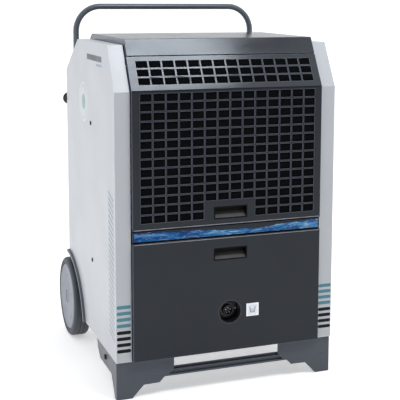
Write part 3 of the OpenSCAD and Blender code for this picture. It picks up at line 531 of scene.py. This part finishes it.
def lathe(bm, profile, centre, axis, sides=64, closed=False, shape=None):
    """Turned solid. Profile points are (radius, height) or (radius, height, flats).
    shape(angle), if given, is a factor for the radii of all the rings."""
    x, y, z = axes_of(axis)
    rings = []
    for r, h, *flats in profile:
        base = Vector(centre) + z * h
        if r < WELD:
            rings.append([bm.verts.new(base)])
            continue
        ring = []
        for a in turns(sides):
            k = flat_sided(a, *flats) if flats else shape(a) if shape else 1
            ring.append(bm.verts.new(base + r * k * spoke(a, x, y)))
        rings.append(ring)
    for a, b in zip(rings, rings[1:]):
        skin(bm, a, b)
    if closed:
        skin(bm, rings[-1], rings[0])
    elif len(rings[0]) > 1 and len(rings[-1]) > 1:
        bm.faces.new(rings[0])
        bm.faces.new(rings[-1])


def arc(centre, radius, start, stop, steps):
    """Points of an arc, start and stop in degrees."""
    for i in range(steps + 1):
        a = radians(start + (stop - start) * i / steps)
        yield (centre[0] + radius * cos(a), centre[1] + radius * sin(a))


def tube(bm, points, radius, sides=16, closed=False):
    """Round bar along points, closed into a ring or ended flat."""
    points = [Vector(p) for p in points]
    n = len(points)
    rings, x = [], None
    for i, p in enumerate(points):
        before = points[i - 1] if i or closed else p
        after = points[(i + 1) % n] if i + 1 < n or closed else p
        t = (after - before).normalized()
        x = axes_of(t)[0] if x is None else (x - t * x.dot(t)).normalized()
        y = t.cross(x)
        rings.append([bm.verts.new(p + radius * spoke(a, x, y)) for a in turns(sides)])
    for a, b in zip(rings, rings[1:]):
        skin(bm, a, b)
    if closed:
        skin(bm, rings[-1], rings[0])
    else:
        bm.faces.new(rings[0])
        bm.faces.new(rings[-1])


def box(bm, lo, hi, round_to=0.0):
    """Box between two corners, its edges rounded if asked."""
    lo, hi = Vector(lo), Vector(hi)
    made = bmesh.ops.create_cube(bm, size=1)["verts"]
    for v in made:
        v.co = Vector([lo[i] if v.co[i] < 0 else hi[i] for i in range(3)])
    if round_to:
        edges = list({e for v in made for e in v.link_edges})
        bmesh.ops.bevel(bm, geom=edges, offset=round_to, segments=3, profile=0.5, affect="EDGES")


def plate(bm, outline, lo, hi, axis="Y"):
    """Flat solid with an outline in x and z, between two depths in y, or in y and z along x."""
    def at(p, d):
        return (p[0], d, p[1]) if axis == "Y" else (d, p[0], p[1])
    near = [bm.verts.new(at(p, lo)) for p in outline]
    far = [bm.verts.new(at(p, hi)) for p in outline]
    skin(bm, near, far)
    bm.faces.new(near)
    bm.faces.new(far)


def finish_piece(bm, name, slot, body, replaced=(), crease=35, mat=None):
    """Makes the piece, gives it smooth normals, its material and its place in the frame."""
    bmesh.ops.recalc_face_normals(bm, faces=bm.faces)
    mesh = bpy.data.meshes.new(name)
    bm.to_mesh(mesh)
    bm.free()
    mesh.polygons.foreach_set("use_smooth", [True] * len(mesh.polygons))
    mesh.set_sharp_from_angle(angle=radians(crease))
    mesh.materials.append(mat or material(slot))
    obj = bpy.data.objects.new(name, mesh)
    bpy.context.scene.collection.objects.link(obj)
    normals = obj.modifiers.new("normals", "WEIGHTED_NORMAL")
    normals.keep_sharp = True
    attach(obj, body)
    if replaced:
        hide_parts(*replaced)


def stand_in(bm, node, kind="form", crease=35, mat=None):
    """The piece that takes the place of the node's own solid."""
    finish_piece(bm, node + "_" + kind, SLOTS[node], BODY[node], (node,), crease, mat)


def detail(bm, name, node, mat=None, slot=None):
    """A further piece on the node's body."""
    finish_piece(bm, name, slot or SLOTS[node], BODY[node], mat=mat)


def cad_mesh(node):
    """The node's solid with its flat faces joined up."""
    bm = bmesh.new()
    bm.from_mesh(frame["nodes"][node].data)
    bmesh.ops.remove_doubles(bm, verts=bm.verts, dist=WELD)
    bmesh.ops.dissolve_limit(bm, angle_limit=radians(0.6), verts=bm.verts, edges=bm.edges)
    return bm


BROAD = 5 * MM  # faces narrower than this aren't folded
OWN_FINISH = {"grille_pull": "pull_plastic", "door_pull": "pull_plastic", "hinge_rods": "black_zinc"}
# radius of the folds and of the cut edges, in mm
FOLDS = {
    "left_side_panel": 3, "right_side_panel": 3, "top_cover": 2.2, "grille_panel": 2, "lower_door": 2,
    "mid_rail": 1.6, "front_foot_frame": 2.2, "arch_trims": 1.6, "electrical_box": 2, "drip_tray": 3,
    "water_tank": 5, "base_pan": 1.5, "side_rails": 2, "rear_crossmember": 2, "grille_pull": 1.2,
    "door_pull": 1.2, "mains_inlet": 1.5, "rocker_switch": 1.2, "handle_clamps": 1.5, "compressor": 2,
    "front_posts": 2, "rear_posts": 2, "control_plate": 0.3,
}
EDGES = {"arch_trims": 0.9, "handle_collars": 1.0, "rear_buffers": 1.6, "grille_panel": 0.4,
         "compressor_feet": 1.5, "float_arm": 1.0, "filter_foam": 1.0}
USUAL_EDGE = 0.35


def is_broad(face):
    """Not a narrow strip."""
    return face.calc_area() / max(e.calc_length() for e in face.edges) > BROAD


def round_edges(bm, keep, radius, segments):
    """Rounds the edges that keep() says yes to."""
    edges = [e for e in bm.edges if len(e.link_faces) == 2 and keep(e)]
    if edges and radius:
        bmesh.ops.bevel(bm, geom=edges, offset=radius, segments=segments, profile=0.5,
                        affect="EDGES", clamp_overlap=True)


def is_fold(edge):
    return edge.is_convex and edge.calc_face_angle() > radians(18) and all(map(is_broad, edge.link_faces))


def is_sharp(edge):
    return edge.calc_face_angle() > radians(40)


def refined(node):
    """The node's own solid with rounded folds, and cut edges that catch the light."""
    bm = cad_mesh(node)
    round_edges(bm, is_fold, FOLDS.get(node, 0) * MM, 4)
    round_edges(bm, is_sharp, EDGES.get(node, USUAL_EDGE) * MM, 2)
    stand_in(bm, node, mat=material(OWN_FINISH.get(node, SLOTS[node])))


def islands(node):
    """Boxes of the separate solids of a node."""
    bm = bmesh.new()
    bm.from_mesh(frame["nodes"][node].data)
    bmesh.ops.remove_doubles(bm, verts=bm.verts, dist=WELD)
    left, found = set(bm.verts), []
    for start in bm.verts:
        if start not in left:
            continue
        left.discard(start)
        group, ahead = [start], [start]
        while ahead:
            v = ahead.pop()
            for e in v.link_edges:
                w = e.other_vert(v)
                if w in left:
                    left.discard(w)
                    group.append(w)
                    ahead.append(w)
        lo = Vector([min(v.co[i] for v in group) for i in range(3)])
        hi = Vector([max(v.co[i] for v in group) for i in range(3)])
        found.append((lo, hi))
    bm.free()
    return found


# ---------------------------------------------------------------- wheels

def wheel(side, sign):
    """Tyre with rounded shoulders and two grooves, and a dished cover with a centre cap and bosses."""
    lo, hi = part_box(side + "_tyre")
    radius = (hi.z - lo.z) / 2
    width = hi.x - lo.x
    centre = Vector((hi.x if sign > 0 else lo.x, (lo.y + hi.y) / 2, (lo.z + hi.z) / 2))
    inward = -sign * X
    rim_lo, rim_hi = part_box(side + "_rim")
    inner = (rim_hi.z - rim_lo.z) / 2 + 0.05 * MM
    shoulder = 9 * MM
    bead = 2 * MM
    profile = [(inner, 1.5 * MM), (inner + 1 * MM, 0.6 * MM), (inner + 4 * MM, 0.6 * MM),
               (inner + 5 * MM, 1.6 * MM), (radius - shoulder - bead, 1.6 * MM)]
    profile += arc((radius - shoulder, shoulder + 0.4 * MM), shoulder, 260, 360, 8)
    for middle in (0.38, 0.62):
        for offset, depth in ((-1.2, 0), (-0.9, 1.6), (0.9, 1.6), (1.2, 0)):
            profile.append((radius - depth * MM, width * middle + offset * MM))
    profile += arc((radius - shoulder, width - shoulder - 0.4 * MM), shoulder, 0, 90, 8)
    profile.append((inner, width - 1 * MM))
    bm = bmesh.new()
    lathe(bm, profile, centre, inward, 128, closed=True)
    stand_in(bm, side + "_tyre", crease=50)

    cover = inner - 0.6 * MM
    disc = mm((0, 2.2), (9, 2.2), (11, 1.2), (14.5, 1.2), (15.5, 3), (17.5, 3), (19, 0.9), (40, 1.6))
    disc += [(cover - inset * MM, depth * MM) for inset, depth in
             ((14, 1.1), (12.5, 0.3), (5, 0.3), (2, 1.2), (0, 3.2), (0, 6), (10, 6), (12, 3.8))]
    disc.append((0, 3.8 * MM))
    bm = bmesh.new()
    lathe(bm, disc, centre, inward, 128)
    for a in turns(5, 90):
        boss = centre + inward * 0.6 * MM + 66 * MM * spoke(a, Y, Z)
        lathe(bm, mm((0, 0), (5, 0), (6, 0.4), (6, 1.5), (0, 1.5)), boss, inward, 32)
    stand_in(bm, side + "_wheel_cover", crease=40)


# ---------------------------------------------------------------- handle, screws and bolts

def handle():
    """One bent tube from the foot of one leg to the foot of the other."""
    lo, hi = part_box("handle")
    r = (hi.y - lo.y) / 2
    bend = 72 * MM
    y = (lo.y + hi.y) / 2
    leg, top = hi.x - r, hi.z - r
    points = [(leg, lo.z), (leg, (lo.z + top - bend) / 2)]
    points += arc((leg - bend, top - bend), bend, 0, 90, 20)
    points += [(leg * (1 - i / 4) / 2, top) for i in range(4)]
    whole = points + [(0, top)] + [(-x, z) for x, z in reversed(points)]
    bm = bmesh.new()
    tube(bm, [(x, y, z) for x, z in whole], r, 40)
    stand_in(bm, "handle", kind="tube", crease=60)


def fasteners(node):
    """For each of the node's flat heads: its foot, the way it faces, its radius and its height.
    A head faces away from the middle of the machine."""
    for lo, hi in islands(node):
        size, middle = hi - lo, (lo + hi) / 2
        thin = min(range(3), key=lambda k: size[k])
        axis = Vector((0, 0, 0))
        axis[thin] = 1 if middle[thin] > 0 else -1
        yield middle - axis * size[thin] / 2, axis, max(size) / 2, size[thin]


def screws():
    """Blackened pan heads with a six-sided socket."""
    bm = bmesh.new()
    for foot, axis, r, h in fasteners("panel_screws"):
        socket = r * 0.42
        profile = [(0, 0), (r, 0), (r, h * 0.25)]
        profile += [(r * 0.62 + r * 0.38 * cos(radians(a)), h * 0.25 + h * 0.75 * sin(radians(a)))
                    for a in (20, 45, 70, 90)]
        profile += [(socket * 1.12, h), (socket, h * 0.9, 6), (socket, h * 0.25, 6), (0, h * 0.15)]
        lathe(bm, profile, foot, axis, 24)
    stand_in(bm, "panel_screws", crease=40, mat=material("black_zinc"))


def foot_bolts():
    """Blackened hexagon heads with a chamfer, on washers."""
    bm = bmesh.new()
    for foot, axis, r, h in fasteners("foot_bolts"):
        washer = 0.8 * MM
        head = r * 0.82
        lathe(bm, [(0, 0), (r, 0), (r, washer * 0.7), (r * 0.97, washer), (0, washer)], foot, axis, 48)
        lathe(bm, [(0, washer), (head, washer, 6), (head, h * 0.82, 6), (head * 0.8, h), (head * 0.5, h),
                   (head * 0.46, h * 0.93), (0, h * 0.93)], foot, axis, 48)
    stand_in(bm, "foot_bolts", crease=30, mat=material("black_zinc"))


# ---------------------------------------------------------------- front details

def wave_strip():
    """Printed film whose ragged crest is full at both ends and dips right of the middle."""
    lo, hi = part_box("wave_strip")
    height = hi.z - lo.z
    steps = 230
    # the dip: its place and its reach to the left and right in mm, and its depth as a share of the height
    dip_x, reach_left, reach_right, dip_depth = 70, 165, 95, 0.44
    bm = bmesh.new()
    tops = []
    for i in range(steps + 1):
        x = hi.x - (hi.x - lo.x) * i / steps
        t = x / MM
        reach = reach_left if t < dip_x else reach_right
        dip = dip_depth * exp(-((t - dip_x) / reach) ** 2)
        ripple = 0.9 * sin(t * 0.055) + 0.7 * sin(t * 0.145 + 1.1) + 0.5 * sin(t * 0.43 + 0.6)
        tops.append((x, hi.z - dip * height - (2.1 - ripple) * MM))
    plate(bm, [(lo.x, lo.z), (hi.x, lo.z)] + tops, lo.y, hi.y)
    stand_in(bm, "wave_strip", kind="film")


def door_connector():
    """Round recess with a rim, a six-sided nut, a socket with five metal pins, and two screws."""
    node = "door_connector"
    lo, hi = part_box(node)
    r = (hi.x - lo.x) / 2
    centre = middle_at(node, lo.y)
    depth = hi.y - lo.y
    back = depth - 2 * MM
    cup = [(r - 2 * MM, back), (r - 2 * MM, 1 * MM), (r - 1.4 * MM, 0.1 * MM), (r - 0.3 * MM, 0),
           (r, 0.5 * MM), (r, depth), (0, depth), (0, back)]
    bm = bmesh.new()
    lathe(bm, cup, centre, Y, 96)
    nut = [(21 * MM, back, 6), (21 * MM, back - 5 * MM, 6), (19.5 * MM, back - 6 * MM),
           (14.5 * MM, back - 6 * MM), (14.5 * MM, back)]
    lathe(bm, nut, centre, Y, 96, closed=True)
    barrel = [(14 * MM, back), (14 * MM, back - 13 * MM), (13.2 * MM, back - 14 * MM),
              (11.8 * MM, back - 14 * MM), (11.5 * MM, back - 13 * MM), (11.5 * MM, back - 4 * MM),
              (0, back - 4 * MM), (0, back)]
    lathe(bm, barrel, centre, Y, 96)
    box(bm, centre + Vector((-1.5 * MM, back - 12 * MM, 9.2 * MM)),
        centre + Vector((1.5 * MM, back - 4 * MM, 12 * MM)), 0.4 * MM)
    stand_in(bm, node)
    bm = bmesh.new()
    for a in turns(5, 90):
        at = centre + 7 * MM * spoke(a) + Y * (back - 4 * MM)
        lathe(bm, mm((0, 0), (1.6, 0), (1.6, -7), (1.1, -8.4), (0, -9)), at, Y, 20)
    for sign in (-1, 1):
        at = centre + Vector((sign * 24.5 * MM, back, 0))
        lathe(bm, mm((0, 0), (2.6, 0), (2.6, -1), (1.8, -2), (0, -2.2)), at, Y, 24)
    detail(bm, "connector_pins", node, slot="bright_steel")


def door_label():
    """Foil square with a raised frame, a pale field and a plain vessel sign."""
    node = "door_label"
    lo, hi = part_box(node)
    w = (hi.x - lo.x) / 2
    x, z = (lo.x + hi.x) / 2, (lo.z + hi.z) / 2
    inner, slope = w - 3.4 * MM, 0.7 * MM
    back, front, step = hi.y, lo.y, 0.18 * MM
    bm = bmesh.new()
    rings = []
    for half, y in ((w, back), (w, front + step), (w - slope, front), (inner + slope, front),
                    (inner, front + step), (inner, back)):
        rings.append([bm.verts.new((x + half * a, y, z + half * b)) for a, b in rect(-1, -1, 1, 1)])
    for a, b in zip(rings, rings[1:] + rings[:1]):
        skin(bm, a, b)
    stand_in(bm, node, kind="frame", crease=20)
    bm = bmesh.new()
    field = front + 0.25 * MM
    box(bm, (x - inner, field, z - inner), (x + inner, back, z + inner))
    detail(bm, "door_label_field", node, ink("label_field", (0.74, 0.77, 0.82), 0.35))
    bm = bmesh.new()
    sign = front + 0.1 * MM
    wall, deep, wide = 1.9 * MM, 16 * MM, 8.6 * MM
    vessel = [(-wide, deep / 2), (-wide + wall, deep / 2), (-wide * 0.72 + wall, -deep / 2 + wall),
              (wide * 0.72 - wall, -deep / 2 + wall), (wide - wall, deep / 2), (wide, deep / 2),
              (wide * 0.72, -deep / 2), (-wide * 0.72, -deep / 2)]
    plate(bm, [(x + a, z + b) for a, b in vessel], sign, field)
    for level in (-2.5, 0.8):
        wave = [(x - 4.6 * MM + i * 0.46 * MM, z + level * MM + 0.5 * MM * sin(i * 0.63)) for i in range(21)]
        plate(bm, wave + [(a, b - 1.0 * MM) for a, b in reversed(wave)], sign, field)
    detail(bm, "door_label_sign", node, ink("label_ink", (0.19, 0.23, 0.3)))


# ---------------------------------------------------------------- plain coloured prints

PRINT = 0.12 * MM  # how far a print stands out
SUNK = 0.1 * MM  # how far its back lies in the surface
HEM = 2.9 * MM  # from a panel's edge to the middle of its painted highlight line


def pull_rim(node):
    """Thin black rim round a finger pull."""
    lo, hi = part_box(node)
    out, wall, proud = 2 * MM, 1.5 * MM, 0.3 * MM
    bm = bmesh.new()
    for bar in ((lo.x - out, hi.z - wall, hi.x + out, hi.z + out),
                (lo.x - out, lo.z - out, hi.x + out, lo.z + wall),
                (lo.x - out, lo.z + wall, lo.x + wall, hi.z - wall),
                (hi.x - wall, lo.z + wall, hi.x + out, hi.z - wall)):
        plate(bm, rect(*bar), lo.y - proud, lo.y + SUNK)
    detail(bm, node + "_rim", node, material("pull_plastic"))


def painted_highlight_line(node, z):
    """Painted highlight: a pale line on a folded edge, where the fold catches the light."""
    lo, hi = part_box(node)
    inset, half = 3 * MM, 0.8 * MM
    bm = bmesh.new()
    plate(bm, rect(lo.x + inset, z - half, hi.x - inset, z + half), lo.y - PRINT, lo.y + SUNK)
    detail(bm, node + "_painted_highlight_line", node, ink(node + "_line", (0.22, 0.23, 0.25), mottle=(40, 0.4)))


def side_print():
    """A ladder of slanted strokes that thin downwards, along the front edge of the left panel."""
    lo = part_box("left_side_panel")[0]
    front, width = lo.y + 16 * MM, 50 * MM
    low, high, pitch, slant = 0.13, 0.51, 15 * MM, 16 * MM
    count = int((high - low) / pitch)
    bm = bmesh.new()
    for i in range(count):
        z = high - i * pitch
        thick = (7.6 - 3.4 * i / count) * MM
        outline = [(front, z), (front + width, z + slant), (front + width, z + slant + thick),
                   (front, z + thick)]
        plate(bm, outline, lo.x - PRINT, lo.x + 2 * SUNK, "X")
    detail(bm, "side_print", "left_side_panel", ink("print_blue", (0.19, 0.24, 0.295), 0.38))


def flange_prints(side, sign):
    """A ladder of short bars low on the front flange, teal above and black below."""
    node = side + "_side_panel"
    lo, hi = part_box(node)
    flange, bars = 40.5 * MM, 4
    middle = (hi.x - flange / 2) if sign > 0 else (lo.x + flange / 2)
    half, pitch, end = 14 * MM, 16 * MM, 4.5 * MM
    for tint, rise, colour in (("black", 26, (0.012, 0.013, 0.016)), ("teal", 92, (0.09, 0.22, 0.27))):
        bm = bmesh.new()
        for i in range(bars):
            z = lo.z + rise * MM + i * pitch + end
            bar = [*arc((middle + half, z), end, -90, 90, 8), *arc((middle - half, z), end, 90, 270, 8)]
            plate(bm, bar, lo.y - PRINT, lo.y + SUNK)
        detail(bm, side + "_flange_" + tint, node, ink(side + "_" + tint, colour, 0.7, gloss=0.1))


def side_marks():
    """A slate bar over a shorter pale one, and a pale round sticker, on the left panel."""
    node = "left_side_panel"
    lo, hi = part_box(node)

    def strip(name, start, stop, drop, thick, colour):
        """A bar from start to stop behind the front edge and drop below the top edge, in mm."""
        z = hi.z - drop * MM
        outline = rect(lo.y + start * MM, z, lo.y + stop * MM, z + thick * MM)
        bm = bmesh.new()
        plate(bm, outline, lo.x - PRINT, lo.x + SUNK, "X")
        detail(bm, name, node, ink(name + "_ink", colour))

    strip("side_bar", 122, 285, 48, 15, (0.05, 0.065, 0.09))
    strip("side_bar_short", 122, 180, 60, 6, (0.2, 0.27, 0.34))
    middle = Vector((lo.x, lo.y + 332 * MM, hi.z - 168 * MM))
    for name, radius, rise, colour in (("side_sticker", 56, 0.08, (0.52, 0.54, 0.56)),
                                       ("side_sticker_ring", 47, 0.1, (0.4, 0.44, 0.46)),
                                       ("side_sticker_field", 43, 0.12, (0.52, 0.54, 0.56)),
                                       ("side_sticker_dot", 21, 0.14, (0.24, 0.36, 0.32))):
        bm = bmesh.new()
        lathe(bm, mm((0, -0.1), (radius, -0.1), (radius, rise), (0, rise)), middle, -X, 64)
        detail(bm, name, node, ink(name + "_ink", colour))


# ---------------------------------------------------------------- rear and inner details

def outlet_guard():
    """Welded wire guard: round rings, twelve spokes, a centre badge and four clips."""
    node = "outlet_guard"
    lo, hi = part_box(node)
    centre = middle_at(node, lo.y)
    outer = (hi.z - lo.z) / 2
    wire, gap, first = 1.5 * MM, 18 * MM, 41.5 * MM
    bm = bmesh.new()

    def ring(radius, depth, thick):
        tube(bm, [centre + Y * depth + radius * spoke(a) for a in turns(96)], thick, 12, True)

    radius = first
    while radius < outer - 14 * MM:
        ring(radius, wire, wire)
        radius += gap
    ring(outer - 2.5 * MM, 2.5 * MM, 2.4 * MM)
    rise = Y * (2.7 * wire)
    for a in turns(12):
        d = spoke(a)
        tube(bm, [centre + rise + d * 32 * MM, centre + rise + d * (outer - 8 * MM),
                  centre + Y * 2.5 * MM + d * (outer - 3 * MM)], 1.3 * MM, 12)
    lathe(bm, mm((0, 3), (37, 3), (38, 3.6), (37.4, 4.6), (30, 5.2), (12, 5.5), (0, 5.5)), centre, Y, 64)
    stand_in(bm, node, kind="wires", crease=50)
    bm = bmesh.new()
    clip = mm((0, 0), (5, 0), (5, 0.8), (3.6, 0.8), (3.6, 4), (3, 5), (1.5, 5.2), (1.4, 3.8, 6), (0, 3.8))
    for a in turns(4, 45):
        lathe(bm, clip, centre + (outer - 6 * MM) * spoke(a), Y, 24)
    detail(bm, "guard_screws", node, slot="bright_steel")


def coil(node):
    """Heat exchanger: thin fins, two rows of tubes, end plates and return bends."""
    lo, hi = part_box(node)
    end = hi.x - 15.5 * MM
    lip, over, sheet = 3 * MM, 6 * MM, 2 * MM
    y0, y1 = lo.y + lip, hi.y - lip
    z0, z1 = lo.z + over, hi.z - over
    mid = (y0 + y1) / 2
    pitch, thick = 3 * MM, 0.3 * MM
    core = end - sheet
    count = int(2 * core / pitch)
    bm = bmesh.new()
    for i in range(count + 1):
        x = -core + i * 2 * core / count
        box(bm, (x - thick / 2, y0, z0), (x + thick / 2, y1, z1))
    for sign in (-1, 1):
        a, b = sorted((sign * core, sign * end))
        box(bm, (a, lo.y, lo.z), (b, hi.y, hi.z), 0.4 * MM)
    stand_in(bm, node, kind="fins")
    bm = bmesh.new()
    rows, row, first, tube_r, bend_r = 8, 40 * MM, 20 * MM, 4.5 * MM, 11 * MM
    for i in range(rows):
        z = z0 + first + i * row
        for y in (mid - bend_r, mid + bend_r):
            tube(bm, [(-end, y, z), (end, y, z)], tube_r, 16)
        for sign in (-1, 1):
            bend = [(sign * (end + bend_r * sin(a)), mid + bend_r * cos(a), z)
                    for a in (pi * k / 12 for k in range(13))]
            tube(bm, bend, tube_r, 16)
    detail(bm, node + "_tubes", node, slot="copper")


def fan_impeller():
    """Axial fan: domed hub, six twisted and swept blades, and a shaft."""
    lo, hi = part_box("fan_impeller")
    centre = Vector((0, 0, (lo.z + hi.z) / 2))
    radius = (hi.z - lo.z) / 2
    hub_r, dome, wall, floor_y = 42 * MM, 10 * MM, 3 * MM, 14 * MM
    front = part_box("fan_shroud")[1].y - 24 * MM
    back = front + 38 * MM
    plane = front + 19 * MM
    bm = bmesh.new()
    hub = [(0, front)]
    hub += [(hub_r - dome + dome * sin(radians(a)), front + dome - dome * cos(radians(a)))
            for a in range(0, 91, 15)]
    hub += [(hub_r, back), (hub_r - wall, back), (hub_r - wall, front + floor_y),
            (14 * MM, front + floor_y), (14 * MM, back), (6 * MM, back), (6 * MM, hi.y), (0, hi.y)]
    lathe(bm, hub, centre, Y, 64)
    across, out, reach = 10, 10, 22 * MM
    for blade in range(6):
        rows = []
        for i in range(out + 1):
            u = i / out
            r = hub_r - 4 * MM + (radius - hub_r + 3 * MM) * u
            pitch = radians(38 - 12 * u)
            chord = (30 + 8 * u) * MM
            turn = radians(60 * blade + 16 * u * u)
            row = []
            for j in range(across + 1):
                v = 2 * j / across - 1
                s = chord * v
                arch = 5 * MM * (1 - v * v)
                a = turn + s * cos(pitch) / r
                y = plane + s * sin(pitch) * 0.85 + arch * cos(pitch) * 0.6
                y = min(max(y, plane - reach), plane + reach)
                half = 0.9 * MM * (1 - 0.6 * v * v)
                row.append((r, a, y, half))
            rows.append(row)
        sheets = [[[bm.verts.new(centre + r * spoke(a) + Y * (y + side * half)) for r, a, y, half in row]
                   for row in rows] for side in (-1, 1)]
        for grid in sheets:
            for near, far in zip(grid, grid[1:]):
                for j in range(across):
                    bm.faces.new((near[j], far[j], far[j + 1], near[j + 1]))
        rims = [grid[0] + [row[-1] for row in grid[1:]] + grid[-1][-2::-1] + [row[0] for row in grid[-2:0:-1]]
                for grid in sheets]
        skin(bm, *rims)
    stand_in(bm, "fan_impeller", crease=45)


def fan_motor():
    """Motor can with cooling ribs, bolted end bells and a shaft collar."""
    lo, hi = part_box("fan_motor")
    centre = Vector((0, 0, (lo.z + hi.z) / 2))
    r = (hi.x - lo.x) / 2
    front, back = lo.y + 6 * MM, hi.y - 10 * MM
    rib, pitch = 4 * MM, 6.5 * MM
    profile = [(8 * MM, lo.y), (18 * MM, lo.y), (18 * MM, front), (r - 6 * MM, front),
               (r - 2 * MM, front + 4 * MM)]
    y = front + 8 * MM
    while y < back - 12 * MM:
        profile += [(r - rib, y), (r - 0.5 * MM, y + 0.8 * MM), (r, y + 1.4 * MM), (r, y + 2.4 * MM),
                    (r - 0.5 * MM, y + 3 * MM), (r - rib, y + 3.6 * MM)]
        y += pitch
    profile += [(r - 2 * MM, back - 4 * MM), (r - 7 * MM, back), (24 * MM, back), (22 * MM, hi.y), (0, hi.y)]
    bm = bmesh.new()
    lathe(bm, profile, centre, Y, 80)
    for a in turns(4, 45):
        at = centre + (r - 14 * MM) * spoke(a) + Y * back
        lathe(bm, mm((0, 0), (3.5, 0, 6), (3.5, 2.5, 6), (2.8, 3), (0, 3)), at, Y, 24)
    stand_in(bm, "fan_motor")


def compressor_seam():
    """Weld bead round the compressor shell, and its terminal cover."""
    lo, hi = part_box("compressor")
    x, y, z = hi.x - 90 * MM, (lo.y + hi.y) / 2, lo.z + 163 * MM
    shell, ripple, bead = 74.5, 0.4, 2.2 * MM
    bm = bmesh.new()
    ring = [Vector((x, y, z)) + (shell + ripple * sin(40 * a)) * MM * spoke(a, X, Y) for a in turns(160)]
    tube(bm, ring, bead, 10, True)
    box(bm, (x - 20 * MM, y + 68 * MM, lo.z + 70 * MM), (x + 20 * MM, y + 86 * MM, lo.z + 120 * MM), 4 * MM)
    detail(bm, "compressor_seam", "compressor")


SCREWS_PROUD = 1.5 * MM  # how far the screws of the control plate stand out from its face


def knob():
    """Fluted knob with a skirt and a white pointer."""
    node = "humidistat_knob"
    lo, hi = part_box(node)
    plate_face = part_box("control_plate")[1].y - SCREWS_PROUD
    centre = middle_at(node, plate_face)
    skirt = (hi.x - lo.x) / 2
    grip = skirt - 3 * MM
    height = hi.y - plate_face - 1.2 * MM

    def flutes(a):
        return 1 - 0.05 * abs(sin(9 * a)) ** 3

    bm = bmesh.new()
    lathe(bm, [(0, lo.y - plate_face), (4 * MM, lo.y - plate_face), (4 * MM, 0.5 * MM), (skirt, 0.5 * MM),
               (skirt, 2 * MM), (skirt - 1.5 * MM, 3.6 * MM), (grip - 2 * MM, 4.2 * MM), (0, 4.2 * MM)],
          centre, Y, 72)
    lathe(bm, [(0, 4 * MM), (grip, 4 * MM), (grip * 0.97, height - 1.6 * MM), (grip * 0.9, height),
               (grip * 0.6, height), (grip * 0.5, height - 0.6 * MM), (0, height - 0.6 * MM)],
          centre, Y, 144, shape=flutes)
    stand_in(bm, node)
    bm = bmesh.new()
    box(bm, centre + Vector((-0.8 * MM, height - 0.4 * MM, grip * 0.45)),
        centre + Vector((0.8 * MM, height + 0.4 * MM, grip * 0.9)), 0.2 * MM)
    detail(bm, "knob_pointer", node, surface("pointer_white", (0.8, 0.8, 0.8), 0.4))


def control_marks():
    """Scale ticks round the knob, and line and ring signs at the rocker."""
    lo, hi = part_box("humidistat_knob")
    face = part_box("control_plate")[1].y - SCREWS_PROUD
    centre = middle_at("humidistat_knob", 0)
    skirt = (hi.x - lo.x) / 2
    ticks, sweep, half = 11, 270, 0.45 * MM
    bm = bmesh.new()
    for i in range(ticks):
        a = radians(-sweep / 2 + sweep * i / (ticks - 1))
        d = Vector((sin(a), 0, cos(a)))
        side = Vector((cos(a), 0, -sin(a))) * half
        length = (4 if i % 5 == 0 else 2.6) * MM
        inner = centre + d * (skirt + 2.5 * MM)
        outer = inner + d * length
        outline = [inner - side, inner + side, outer + side, outer - side]
        plate(bm, [(p.x, p.z) for p in outline], face - SUNK, face + PRINT)
    middle = middle_at("rocker_switch", face)
    box(bm, middle + Vector((-0.5 * MM, -SUNK, 18 * MM)), middle + Vector((0.5 * MM, PRINT, 23 * MM)))
    sign = middle + Vector((0, 0, -20.5 * MM))
    outside, inside = 2.4 * MM, 1.6 * MM
    ring = [(outside, -SUNK), (outside, PRINT), (inside, PRINT), (inside, -SUNK)]
    lathe(bm, ring, sign, Y, 32, closed=True)
    detail(bm, "control_marks", "control_plate", surface("plate_ink", (0.03, 0.033, 0.04), 0.5))


# ---------------------------------------------------------------- all the pieces

BUILT_HERE = {
    "left_tyre", "left_wheel_cover", "right_tyre", "right_wheel_cover", "handle", "panel_screws",
    "foot_bolts", "wave_strip", "door_connector", "door_label", "outlet_guard", "evaporator", "condenser",
    "fan_impeller", "fan_motor", "humidistat_knob",
}


def pieces():
    for node in sorted(frame["nodes"]):
        if node not in BUILT_HERE:
            refined(node)
    for side, sign in SIDES:
        wheel(side, sign)
    handle()
    screws()
    foot_bolts()
    wave_strip()
    door_connector()
    door_label()
    for node in ("grille_pull", "door_pull"):
        pull_rim(node)
    # painted highlights along the grille panel's lower fold and the lower door's upper fold
    painted_highlight_line("grille_panel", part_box("grille_panel")[0].z + HEM)
    painted_highlight_line("lower_door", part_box("lower_door")[1].z - HEM)
    side_print()
    for side, sign in SIDES:
        flange_prints(side, sign)
    side_marks()
    outlet_guard()
    for node in ("evaporator", "condenser"):
        coil(node)
    fan_impeller()
    fan_motor()
    compressor_seam()
    knob()
    control_marks()


camera()
studio()
floor()
pieces()
